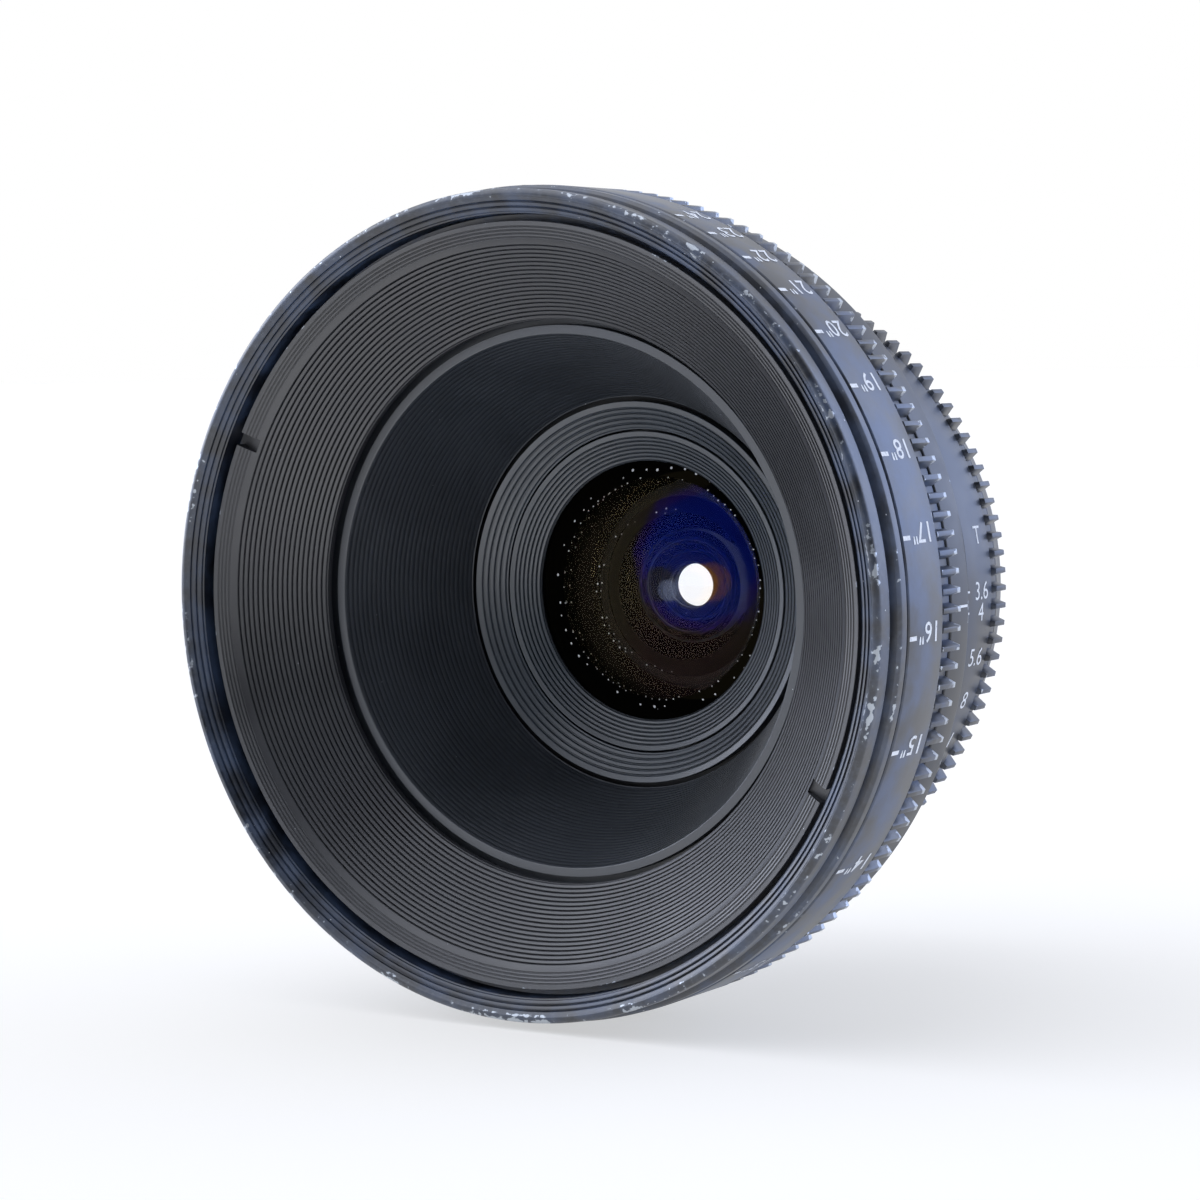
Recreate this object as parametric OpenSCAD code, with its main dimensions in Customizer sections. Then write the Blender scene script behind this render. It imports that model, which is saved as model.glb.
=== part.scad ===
// Wide-angle cine prime lens with a geared focus ring and a geared iris ring.
// The optical axis runs along Y. The front faces -Y and the camera side faces +Y.
// The origin is the centre of the mount's seating face. A place along the axis is
// a distance in front of that face, and a depth is counted back from the front face.

/* [Overall] */
// Distance from the mount's seating face to the front face
body_len = 80; // [79:0.5:82]
// Diameter of the front rim, which a clip-on matte box grips
front_d = 114; // [113:0.5:115]
// Gap along the axis between a turning ring and the fixed piece beside it
slip_gap = 0.2; // [0.1:0.05:0.4]
// Radial clearance of a running fit
run_clear = 0.05; // [0.02:0.01:0.1]
// Radial clearance of a seated or screwed fit
seat_clear = 0.05; // [0.02:0.01:0.1]
// Clearance along the axis between stacked inner pieces
stack_clear = 0.05; // [0.02:0.01:0.1]
// Broken edge on turned rings
edge_break = 0.4; // [0.2:0.1:0.6]

/* [Front ring] */
// Rounding of the front outer corner
rim_round = 0.8; // [0.5:0.1:0.9]
// Length of the rim that the matte box grips, from the front face
rim_len = 3.4; // [3:0.1:4]
// Width of the flat lip at the front face
rim_lip = 1.15; // [0.9:0.05:1.4]
// Number of light-trap ribs inside the lip
mouth_ribs = 3; // [2:1:4]
// Radial pitch of those ribs
mouth_rib_pitch = 0.73; // [0.6:0.01:0.8]
// Drop along the axis from one of those ribs to the next
mouth_rib_drop = 0.4; // [0.3:0.05:0.5]
// Length of the neck groove behind the rim
neck_len = 0.7; // [0.4:0.1:1]
// Depth of the neck groove below the rim
neck_deep = 1.1; // [0.6:0.1:1.6]
// Length of the ridge behind the neck groove
ridge_len = 2; // [1.6:0.1:2.6]
// Height of the ridge above the rim
ridge_rise = 0.6; // [0.3:0.1:0.8]
// Depth of the shoulder that the outer baffle sits on
shoulder_depth = 4.6; // [4.3:0.1:5]
// Length of the threaded spigot behind the front ring
spigot_len = 4; // [3:0.5:5]
// Wall of that spigot
spigot_wall = 1.7; // [1.4:0.1:2]

/* [Outer baffle] */
// Open gap between the front ring and the baffle's rim
dust_gap = 0.95; // [0.7:0.05:1.1]
// Depth of the baffle's rim behind the front face
outer_rim_depth = 2.5; // [2.2:0.1:2.8]
// Radial width of the filter-thread band on the rim
thread_band = 2.3; // [2:0.1:2.5]
// Drop of that band along the axis
thread_drop = 0.8; // [0.5:0.1:1]
// Number of fine lines on the band
thread_lines = 4; // [3:1:5]
// Radial width of the land between the band and the funnel
funnel_land = 0.5; // [0.4:0.05:0.7]
// Length of the outer funnel along the axis
outer_funnel_len = 8.4; // [7.6:0.2:9]
// Radius of the funnel's inner edge
outer_funnel_in_r = 39.4; // [39:0.1:40]
// Depth of the light-trap grooves
groove_deep = 0.32; // [0.2:0.02:0.4]
// Wall of the baffles
baffle_wall = 1.2; // [1:0.1:1.5]
// Width of the two spanner slots
spanner_slot_w = 2; // [1.6:0.1:2.4]
// Depth of the spanner slots
spanner_slot_deep = 1; // [0.7:0.1:1.2]
// Angle of the first spanner slot round the axis
spanner_slot_az = -26.2; // [-90:0.1:90]

/* [Inner baffle] */
// Radial gap between the two baffles
baffle_gap = 0.7; // [0.5:0.05:0.9]
// Setback of the inner baffle's front land behind the outer baffle's inner edge
inner_setback = 1.6; // [1.5:0.1:1.9]
// Width of the front land
inner_land = 1.25; // [1:0.05:1.4]
// Length of the inner funnel along the axis
inner_funnel_len = 19.6; // [19:0.2:20]
// Radius of the funnel's inner edge
inner_funnel_in_r = 28.4; // [28:0.1:28.8]
// Number of turned grooves in the inner funnel
inner_grooves = 28; // [18:1:34]
// Thickness of the flange that carries the baffle
baffle_flange_t = 2; // [1.5:0.1:2.5]
// Step from the front land back to the flange
baffle_step = 1.5; // [1.4:0.1:1.8]

/* [Glass cell] */
// Radial gap between the inner baffle and the glass cell
cell_gap = 0.7; // [0.5:0.05:0.9]
// Radial width of the cell's ribbed face
cell_face_w = 4.1; // [3.9:0.1:4.3]
// Drop of the ribbed face along the axis
cell_face_drop = 2.3; // [1.8:0.1:2.6]
// Ribs on the cell's face
cell_ribs = 5; // [3:1:7]
// Gap round the retaining ring
retainer_gap = 0.3; // [0.2:0.05:0.4]
// Ribs on the retaining ring
retainer_ribs = 7; // [4:1:9]
// Drop of the retaining ring's face along the axis
retainer_drop = 2; // [1.6:0.1:2.2]
// How far the retaining ring reaches over the glass
retainer_lip = 0.95; // [0.7:0.05:1.1]
// Edge radius of the front glass element
glass_r = 19.9; // [19.5:0.1:20.1]
// Wall of the cell's body outside the front element
cell_wall = 6.1; // [6:0.1:6.3]
// Thickness of the cell's front flange
cell_flange_t = 2; // [1.6:0.1:2.4]

/* [Focus] */
// Module of the lens gears
gear_module = 0.8; // [0.795:0.001:0.805]
// Teeth on the focus ring
focus_teeth = 142; // [141:1:143]
// Length of the scale band
focus_band_len = 9.7; // [9:0.1:10]
// Face width of the focus gear
focus_gear_w = 5.9; // [5.5:0.1:6.4]
// Height of the scale band above the root of the teeth
band_rise = 1.9; // [1.85:0.05:2.1]
// Wall of the focus ring
focus_wall = 3.8; // [3.6:0.1:4]
// Turn of the focus ring from its rest place to infinity
focus_far_turn = 176.5; // [150:0.5:180]
// Turn of the focus ring from its rest place to close focus
focus_near_turn = 84; // [60:0.5:88]
// Travel of the optics for one full turn
helicoid_lead = 2; // [1.8:0.05:2.2]
// Width of a drive key
key_w = 6; // [5:0.5:7]
// Length of a drive key along the axis
key_len = 3; // [2.6:0.1:3.2]
// Number of drive keys
key_count = 3; // [2:1:4]
// Radius of the focus stop pin
stop_pin_r = 0.5; // [0.4:0.05:0.55]
// Depth of the channel that the stop pin runs in
stop_channel_deep = 1.8; // [1.6:0.1:2]

/* [Barrel] */
// Wall of the barrel's front tube
tube_wall = 2.2; // [2:0.1:2.4]
// Radius of the bore that guides the optics
guide_r = 35; // [34.8:0.1:35.2]
// Wall of the barrel round that bore
guide_wall = 4; // [3.8:0.1:4.2]
// Outer radius of the index sleeve's straight part
sleeve_r = 45.6; // [45.4:0.1:45.8]
// Wall of the index sleeve
sleeve_wall = 2; // [1.8:0.1:2.2]
// Length of the seat that carries each end of the index sleeve
sleeve_seat_len = 2.6; // [2.2:0.1:3]
// Length of the index sleeve's straight part
sleeve_straight = 10; // [9:0.5:11]
// Outer radius of the sleeve's front edge
sleeve_front_r = 56; // [55.9:0.1:56.2]
// Radius of the opening through the rear wall and the mount
rear_bore_r = 24.5; // [24.3:0.1:24.7]
// Radius of the neck behind the rear wall
neck_r = 30.3; // [30.1:0.1:30.6]
// Length of the free neck in front of the mount's lugs
neck_free = 5.4; // [5:0.1:6]

/* [Iris ring] */
// Teeth on the iris ring
iris_teeth = 113; // [112:1:114]
// Length of the T-stop strip
iris_strip_len = 8.1; // [7.6:0.1:9]
// Face width of the iris gear
iris_gear_w = 4; // [3.6:0.1:4.4]
// Height of the strip above the root of the teeth
strip_rise = 1.2; // [1:0.05:1.4]
// Radius of the bearing that the iris ring turns on
iris_bearing_r = 41; // [40.6:0.1:41.4]
// Turn of the iris ring from full aperture to the smallest stop
iris_turn = 45.4; // [40:0.2:46]
// Radius of the pin that drives the iris
drive_pin_r = 1; // [0.8:0.05:1.2]
// Angle of the drive pin round the axis at full aperture
drive_pin_az = 100; // [60:5:180]
// Length of the collar's bevel along the axis
collar_bevel = 8; // [7:0.1:8.1]
// Radius of the collar's rear edge
collar_rear_r = 41; // [40.8:0.1:42]

/* [Iris] */
// Number of iris blades
blade_count = 14; // [14:1:14]
// Radius of the opening at full aperture
stop_r = 6.6; // [6.4:0.05:6.7]
// Radius of the opening at the smallest stop
stop_min_r = 1.08; // [1:0.02:1.6]
// How far the open blades stand back from the opening
blade_back = 0.25; // [0.2:0.05:0.35]
// Width of a blade
blade_w = 4.3; // [4.2:0.05:4.4]
// Thickness of a blade
blade_t = 0.12; // [0.1:0.01:0.14]
// Distance along the axis from one blade to the next
blade_pitch = 0.2; // [0.18:0.01:0.25]
// Radius of the circle of blade pivots
pivot_ring_r = 12.5; // [12.4:0.05:12.6]
// Radius of the blade pins
blade_pin_r = 0.35; // [0.3:0.01:0.4]
// Radius at which the blade's drive pin stands at full aperture
drive_ring_r = 15.9; // [15.7:0.05:16]
// Angle from a blade's pivot to its drive pin
drive_ring_az = 32.8; // [32.4:0.1:33.2]
// Thickness of the cam ring and the plates
plate_t = 1.2; // [1:0.05:1.3]
// Radius of the iris housing's bore
housing_bore_r = 20; // [19.8:0.1:20.2]
// Wall of the iris housing
housing_wall = 4; // [3.8:0.1:4.2]

/* [Mount] */
// Radius of the mount's spigot
spigot_r = 27; // [26.9:0.05:27]
// Length of the spigot behind the seating face
mount_spigot_len = 18; // [17:0.5:20]
// Thickness of the mount's flange
flange_t = 3.3; // [3:0.1:3.6]
// Radius of the four lugs
lug_r = 34.5; // [34:0.1:35]
// Angle that each lug spans
lug_angle = 58; // [50:1:64]
// Width of the slot that locates the lens
locating_slot_w = 3; // [2.8:0.1:3.2]
// Thickness of the shim under the mount
shim_t = 0.3; // [0.1:0.05:0.5]
// Number of mount screws
mount_screw_count = 6; // [4:2:6]
// Radius of the circle of mount screws
mount_screw_ring_r = 28.65; // [28.6:0.05:28.7]
// Shank radius of the mount screws
mount_screw_r = 0.8; // [0.7:0.05:0.85]

/* [Hidden] */
$fn = 180;

// One overrun serves all cuts
cut = 1;
// Overlap that fuses the parts of one solid
fuse = 0.02;

// Finishes
black_anodised = "#2b2d31";
black_matt = "#1d1e20";
rib_black = "#26292b";
steel = "#b9bcc0";
dark_steel = "#4a4c50";
glass_tint = "#33304a";
blade_black = "#141416";

// Teeth: widths are shares of the pitch, heights are shares of the module
tooth_root_share = 0.72;
tooth_tip_share = 0.27;
tooth_root_depth_share = 1.25;
tooth_tip_height_share = 1;
function gear_root(teeth) = gear_module * (teeth / 2 - tooth_root_depth_share);
function gear_tip(teeth) = gear_module * (teeth / 2 + tooth_tip_height_share);

// Radii and depths of the front ring, from its face inwards
front_r = front_d / 2;
front_bore_r = front_r - rim_lip - mouth_ribs * mouth_rib_pitch;
mouth_depth = edge_break / 2 + mouth_ribs * mouth_rib_drop;
ridge_r = front_r + ridge_rise;
front_ring_len = rim_len + edge_break + neck_len + edge_break + ridge_len;

// Radial chain of the focus ring and the barrel's front tube
focus_root_r = gear_root(focus_teeth);
band_r = focus_root_r + band_rise;
focus_bore_r = band_r - focus_wall;
tube_r = focus_bore_r - run_clear;
tube_in_r = tube_r - tube_wall;
spigot_out_r = tube_in_r - seat_clear;
spigot_in_r = spigot_out_r - spigot_wall;

// Places along the axis of the focus ring and the index sleeve
focus_front_s = body_len - front_ring_len - slip_gap;
focus_gear_s = focus_front_s - focus_band_len;
focus_rear_s = focus_gear_s - focus_gear_w;
sleeve_front_s = focus_rear_s - slip_gap;

// Outer baffle
outer_rim_r = front_bore_r - dust_gap;
outer_funnel_r = outer_rim_r - thread_band - funnel_land;
outer_funnel_depth = outer_rim_depth + thread_drop + funnel_land;
outer_lip_depth = outer_funnel_depth + outer_funnel_len;
lip_t = baffle_wall;

// Inner baffle
inner_land_r = outer_funnel_in_r - baffle_gap;
inner_front_depth = outer_lip_depth + inner_setback;
inner_funnel_r = inner_land_r - inner_land;
inner_rear_depth = inner_front_depth + inner_funnel_len;
flange_front_depth = inner_front_depth + baffle_step;
flange_rear_depth = flange_front_depth + baffle_flange_t;

// Focus carrier
carrier_sleeve_r = inner_land_r + 2 * baffle_flange_t - baffle_wall;
carrier_wall = baffle_flange_t;
carrier_front_s = body_len - flange_rear_depth;
near_travel = helicoid_lead * focus_near_turn / 360;
far_travel = helicoid_lead * focus_far_turn / 360;
travel_clear = 0.4;
cell_front_s = body_len - inner_rear_depth - travel_clear / 2;
web_front_s = cell_front_s - cell_flange_t;
web_t = 4;
carrier_tube_wall = 2.5;
carrier_tube_in_r = guide_r - carrier_tube_wall;
carrier_cone_s = cell_front_s + edge_break;
carrier_cone_len = 7.5;

// Drive keys, which slide in slots of the barrel and reach into the focus ring
key_front_s = carrier_front_s - edge_break;
key_rear_s = key_front_s - key_len;
recess_deep = 1;
recess_r = focus_bore_r + recess_deep;
key_tip_r = recess_r - 2 * seat_clear;
key_recess_front_s = key_front_s + near_travel + travel_clear;
key_slot_rear_s = key_rear_s - far_travel - travel_clear;
key_screw_r = 0.8;
key_screw_head_r = 1.6;
key_screw_head_t = 1.4;
stop_pin_az = 220;
stop_pin_len = 2.6;

// Iris ring
iris_root_r = gear_root(iris_teeth);
strip_r = iris_root_r + strip_rise;
iris_front_share = 0.3775;
iris_front_s = body_len * iris_front_share;
iris_gear_s = iris_front_s - iris_strip_len;
iris_rear_s = iris_gear_s - iris_gear_w;
collar_front_s = iris_rear_s - slip_gap;
drive_pin_s = iris_gear_s + iris_strip_len / 2;
pin_head_r = drive_pin_r + edge_break;
pin_head_t = 2 * edge_break;

// Barrel
bore_r = guide_r + run_clear;
barrel_r = bore_r + guide_wall;
flare_len = 16;
flare_front_s = sleeve_front_s;
flare_rear_s = flare_front_s - flare_len;
seat_front_s = sleeve_front_s - sleeve_seat_len;
sleeve_rear_s = iris_front_s + slip_gap;
sleeve_seat_r = sleeve_r - sleeve_wall - seat_clear;
barrel_rear_s = flange_t + shim_t;
rear_wall_s = barrel_rear_s + neck_free;
collar_rear_s = rear_wall_s + edge_break;
collar_seat_r = iris_bearing_r - 1.5 * edge_break;
sleeve_screw_r = 1;
sleeve_screw_len = 2.4;
sleeve_screw_count = 3;
sleeve_screw_s = sleeve_rear_s + sleeve_seat_len / 2;
collar_screw_r = 0.9;
collar_screw_count = 3;
collar_front_r = iris_root_r - edge_break / 2;
collar_screw_s = (collar_front_s + collar_rear_s) / 2;
collar_head_r = (collar_front_r + collar_rear_r) / 2 - edge_break / 2;
pin_margin_az = 3;
function sleeve_screw_az(i) = 60 + i * 360 / sleeve_screw_count;
function collar_screw_az(i) = 30 + i * 360 / collar_screw_count;
function mount_screw_az(i) = 15 + i * 360 / mount_screw_count;

// Glass elements, as shares of the front element's edge radius: edge radius, front and
// rear radius of curvature (positive where the centre lies behind), thickness at the
// centre, length of the edge where the rear is hollow, and air gap in front
element_shares = [
    [1.000, 2.41, 1.03, 0.100, 0.250, 0],
    [0.769, 1.81, 0.73, 0.075, 0.222, 0.332],
    [0.563, -3.52, 0.955, 0.060, 0.236, 0.352],
    [0.523, 1.11, -1.31, 0.377, 0, 0.040],
    [0.382, -0.90, 1.21, 0.060, 0.207, 0],
    [0.422, 1.23, -0.855, 0.261, 0, 0.015],
    [0.482, -2.76, -1.21, 0.161, 0, 0.045],
    [0.543, 4.52, -1.71, 0.201, 0, 0.025],
    [0.573, -2.01, -4.52, 0.070, 0, 0.090]];
front_count = 4;
last = len(element_shares) - 1;
glass_setback = 5.3;
element_land = 0.6;
bore_clear = seat_clear;

function edge_r(i) = element_shares[i][0] * glass_r;
function front_curve(i) = element_shares[i][1] * glass_r;
function rear_curve(i) = element_shares[i][2] * glass_r;
function centre_t(i) = element_shares[i][3] * glass_r;
function air_gap(i) = element_shares[i][5] * glass_r;
function sag(curve, r) = abs(curve) - sqrt(curve * curve - r * r);
function front_vertex(i) =
    i == 0 ? cell_front_s - glass_setback + sag(front_curve(0), glass_r) :
    i == front_count ? rear_cell_s - plate_t + cell_step - sag(front_curve(i), edge_r(i)) :
    front_vertex(i - 1) - centre_t(i - 1) - air_gap(i);
function rear_vertex(i) = front_vertex(i) - centre_t(i);
function rim_front(i) = front_vertex(i) - sign(front_curve(i)) * sag(front_curve(i), edge_r(i));
function rim_rear(i) =
    rear_curve(i) < 0 ? rear_vertex(i) + sag(rear_curve(i), edge_r(i)) :
    rim_front(i) - element_shares[i][4] * glass_r;
function bore(i) = edge_r(i) + bore_clear;
// Where a land or spacer from in_r to out_r meets the front or the rear face of a glass
function front_seat(i, out_r, in_r) =
    let (r = front_curve(i) > 0 ? in_r : out_r)
    front_vertex(i) - sign(front_curve(i)) * sag(front_curve(i), r) + stack_clear;
function rear_seat(i, in_r) =
    (rear_curve(i) < 0 ? rear_vertex(i) + sag(rear_curve(i), in_r) : rim_rear(i)) - stack_clear;

// Front cell and retaining ring
cell_face_r = inner_funnel_in_r - cell_gap;
cell_body_r = glass_r + cell_wall;
retainer_r = cell_face_r - cell_face_w - retainer_gap;
retainer_in_r = glass_r - retainer_lip;
retainer_front_s = cell_front_s - cell_face_drop - retainer_gap / 2;
retainer_seat_s = rim_front(0) + stack_clear;
nut_len = 2;
nut_wall = 3;

// Iris stack, from the back of the front cell rearwards
cell_step = 0.2;
iris_gap = 1;
housing_front_s = rear_vertex(front_count - 1) - iris_gap;
stack_front_s = housing_front_s - plate_t;
stack_len = blade_count * blade_pitch + stack_clear;
cam_front_s = stack_front_s - stack_len - stack_clear;
cam_rear_s = cam_front_s - plate_t;
cover_front_s = cam_rear_s - slip_gap;
cover_rear_s = cover_front_s - plate_t;
rear_cell_s = cover_rear_s - stack_clear;
rear_wall_front_s = cam_rear_s - far_travel - travel_clear;
housing_r = housing_bore_r + housing_wall;
blade_in_r = stop_r + blade_back;
blade_out_r = blade_in_r + blade_w;
blade_turn = 2 * asin((blade_in_r - stop_min_r) / (2 * pivot_ring_r));
blade_angle = 116;
blade_start_angle = -6;
blade_lug_r = blade_pin_r + 2 * edge_break;
blade_step = 360 / blade_count;
cam_in_r = drive_ring_r - 5 * housing_wall / 4;
cam_r = housing_bore_r - run_clear;
cam_slot_r = blade_pin_r + 2 * run_clear;
slot_points = 16;
slot_probe_share = 0.001;
arm_w = 5;
finger_w = 6;
finger_t = 2.5;
finger_in_r = carrier_tube_in_r - finger_t - 4 * slip_gap;
finger_end = 3;
window_margin = 10;

// Rear cell
rear_cell_wall = 4;
rear_cell_flange_t = 2;
rear_cell_lip = 2;
rear_cell_r = edge_r(last) + rear_cell_wall;
rear_cell_end_s = rim_rear(last) - rear_cell_lip;

// Mount
slot_depth = 2.4;
lug_root_r = neck_r + edge_break;
mount_screw_head_r = mount_screw_r + edge_break;
mount_screw_len = 6;
baffle_ring_wall = 5;
baffle_ring_len = 3.4;

// Turns a shape drawn along Z so that its Z axis points out of the front
module along_axis() {
    rotate([90, 0, 0]) children();
}

// Solid of revolution from an outline of radius and place along the axis
module turned(outline) {
    along_axis() rotate_extrude() polygon(outline);
}

// Plain ring between two places along the axis
module ring(out_r, in_r, from_s, to_s) {
    turned([[in_r, from_s], [out_r, from_s], [out_r, to_s], [in_r, to_s]]);
}

// Part of a ring between two angles round the axis
module ring_sector(out_r, in_r, from_s, to_s, from_az, to_az) {
    along_axis() rotate([0, 0, from_az]) rotate_extrude(angle = to_az - from_az)
        polygon([[in_r, from_s], [out_r, from_s], [out_r, to_s], [in_r, to_s]]);
}

// Round bar that stands out from the axis between two radii
module radial_bar(r, from_r, to_r, s, az) {
    along_axis() rotate([0, 0, az]) translate([from_r, 0, s]) rotate([0, 90, 0])
        cylinder(r = r, h = to_r - from_r, $fn = 48);
}

// Block that stands out from the axis between two radii
module radial_block(w, from_r, to_r, from_s, to_s, az) {
    along_axis() rotate([0, 0, az]) translate([from_r, -w / 2, from_s])
        cube([to_r - from_r, w, to_s - from_s]);
}

// Round bar along the axis at a radius and an angle
module axial_bar(r, ring_r, from_s, to_s, az) {
    along_axis() rotate([0, 0, az]) translate([ring_r, 0, from_s])
        cylinder(r = r, h = to_s - from_s, $fn = 48);
}

// Points of a grooved face from one point to another, as a turner cuts a light trap:
// each pitch is a land and then a square groove cut back along the axis
groove_share = 0.36;
function grooved(a, b, count, deep) = [
    for (i = [0:count - 1], k = [0:3])
        let (at = (i + (k < 2 ? 1 - groove_share : 1)) / count)
        [a[0] + (b[0] - a[0]) * at, a[1] + (b[1] - a[1]) * at - (k == 1 || k == 2 ? deep : 0)]];

// Points of a quarter round between two directions
function arc_points(centre, r, from, to, count) = [
    for (i = [0:count])
        let (a = from + (to - from) * i / count)
        [centre[0] + r * cos(a), centre[1] + r * sin(a)]];

// Outline of a toothed ring, drawn round the axis
function tooth_outline(teeth) = [
    for (i = [0:teeth - 1], k = [0:3])
        let (share = (k == 0 || k == 3 ? tooth_root_share : tooth_tip_share) / 2,
             r = k == 0 || k == 3 ? gear_root(teeth) : gear_tip(teeth),
             az = 360 * (i + (k < 2 ? -share : share)) / teeth)
        [r * cos(az), r * sin(az)]];

// Toothed ring with the ends of its teeth bevelled
module gear(teeth, in_r, from_s, to_s) {
    tip = gear_tip(teeth);
    root = gear_root(teeth);
    intersection() {
        along_axis() translate([0, 0, from_s]) linear_extrude(to_s - from_s) difference() {
            polygon(tooth_outline(teeth));
            circle(r = in_r);
        }
        turned([[in_r - cut, from_s], [tip - edge_break, from_s], [tip + fuse, from_s + edge_break],
                [tip + fuse, to_s - edge_break], [tip - edge_break, to_s], [in_r - cut, to_s]]);
    }
}

// Front ring with the rounded rim, the neck groove and the ridge behind it
module front_ring() {
    rear_s = body_len - front_ring_len;
    neck_front_s = body_len - rim_len;
    ridge_s = rear_s + ridge_len;
    rim_turn_r = min(rim_round, rim_lip - 0.75 * edge_break);
    color(black_anodised) turned(concat(
        [[front_r - rim_lip + edge_break / 2, body_len], [front_r - rim_lip, body_len - edge_break / 2]],
        grooved([front_r - rim_lip, body_len - edge_break / 2],
                [front_bore_r, body_len - mouth_depth], mouth_ribs, groove_deep),
        [[front_bore_r, body_len - mouth_depth], [front_bore_r, body_len - shoulder_depth],
         [spigot_in_r, body_len - shoulder_depth], [spigot_in_r, rear_s - spigot_len],
         [spigot_out_r, rear_s - spigot_len], [spigot_out_r, rear_s],
         [ridge_r - edge_break / 2, rear_s], [ridge_r, rear_s + edge_break / 2],
         [ridge_r, ridge_s - edge_break], [ridge_r - edge_break, ridge_s + edge_break / 2],
         [front_r - neck_deep, neck_front_s - edge_break - neck_len],
         [front_r - neck_deep, neck_front_s - edge_break], [front_r - edge_break, neck_front_s],
         [front_r, neck_front_s + edge_break]],
        arc_points([front_r - rim_turn_r, body_len - rim_turn_r], rim_turn_r, 0, 90, 6)));
}

// Outer baffle: a screwed ring with a long funnel and two spanner slots
module outer_baffle() {
    rim_s = body_len - outer_rim_depth;
    band_s = rim_s - thread_drop;
    funnel_s = body_len - outer_funnel_depth;
    lip_s = body_len - outer_lip_depth;
    seat_s = body_len - shoulder_depth;
    neck_out_r = spigot_in_r - seat_clear;
    color(black_anodised) difference() {
        turned(concat(
            [[outer_rim_r, seat_s], [outer_rim_r, rim_s]],
            grooved([outer_rim_r - edge_break, rim_s], [outer_funnel_r + funnel_land, band_s],
                    thread_lines, groove_deep / 2),
            [[outer_funnel_r, funnel_s], [outer_funnel_in_r, lip_s], [outer_funnel_in_r, lip_s - lip_t],
             [outer_funnel_in_r + baffle_wall, lip_s - lip_t],
             [neck_out_r - baffle_wall, funnel_s - 2 * baffle_wall - groove_deep],
             [neck_out_r - baffle_wall, seat_s - spigot_len], [neck_out_r, seat_s - spigot_len],
             [neck_out_r, seat_s]]));
        for (side = [0, 180])
            radial_block(spanner_slot_w, outer_funnel_r, outer_rim_r + cut,
                         band_s - spanner_slot_deep, rim_s + cut, spanner_slot_az + side);
    }
}

// Inner baffle: a grooved funnel that moves with the optics
module inner_baffle() {
    front_s = body_len - inner_front_depth;
    rear_s = body_len - inner_rear_depth;
    flange_s = body_len - flange_front_depth;
    sleeve_in_r = carrier_sleeve_r - carrier_wall - seat_clear;
    color(rib_black) turned(concat(
        [[inner_land_r, flange_s], [inner_land_r, front_s], [inner_funnel_r, front_s]],
        grooved([inner_funnel_r, front_s], [inner_funnel_in_r, rear_s], inner_grooves, groove_deep),
        [[inner_funnel_in_r, rear_s], [inner_funnel_in_r + baffle_wall, rear_s],
         [sleeve_in_r - baffle_wall, carrier_front_s - baffle_flange_t],
         [sleeve_in_r, carrier_front_s - baffle_flange_t], [sleeve_in_r, carrier_front_s],
         [carrier_sleeve_r, carrier_front_s], [carrier_sleeve_r, flange_s]]));
}

// Main barrel: the fixed tube that everything else is mounted on
module main_barrel() {
    color(dark_steel) difference() {
        turned([
            [rear_bore_r, barrel_rear_s], [neck_r, barrel_rear_s], [neck_r, rear_wall_s],
            [collar_seat_r, rear_wall_s], [collar_seat_r, collar_front_s],
            [iris_bearing_r, collar_front_s], [iris_bearing_r, sleeve_rear_s],
            [sleeve_seat_r, sleeve_rear_s], [sleeve_seat_r, sleeve_rear_s + sleeve_seat_len],
            [barrel_r, sleeve_rear_s + sleeve_seat_len], [barrel_r, flare_rear_s + edge_break],
            [tube_r, seat_front_s], [tube_r, body_len - front_ring_len],
            [tube_in_r, body_len - front_ring_len], [tube_in_r, flare_front_s],
            [bore_r, flare_rear_s], [bore_r, rear_wall_front_s],
            [rear_bore_r, rear_wall_front_s]]);
        for (i = [0:key_count - 1])
            radial_block(key_w + 2 * run_clear, tube_in_r - cut - flare_len / 2, tube_r + cut,
                         key_slot_rear_s, key_recess_front_s, 90 + i * 360 / key_count);
        ring_sector(iris_bearing_r + cut, bore_r - cut, drive_pin_s - drive_pin_r - seat_clear,
                    drive_pin_s + drive_pin_r + seat_clear, drive_pin_az - pin_margin_az,
                    drive_pin_az + iris_turn + pin_margin_az);
        for (i = [0:sleeve_screw_count - 1])
            radial_bar(sleeve_screw_r + seat_clear, sleeve_seat_r - sleeve_screw_len, sleeve_seat_r + cut,
                       sleeve_screw_s, sleeve_screw_az(i));
        for (i = [0:collar_screw_count - 1])
            radial_bar(collar_screw_r + seat_clear, collar_seat_r - sleeve_screw_len, collar_seat_r + cut,
                       collar_screw_s, collar_screw_az(i));
        for (i = [0:mount_screw_count - 1])
            axial_bar(mount_screw_r + seat_clear, mount_screw_ring_r, barrel_rear_s - cut,
                      barrel_rear_s + mount_screw_len, mount_screw_az(i));
    }
}

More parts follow.
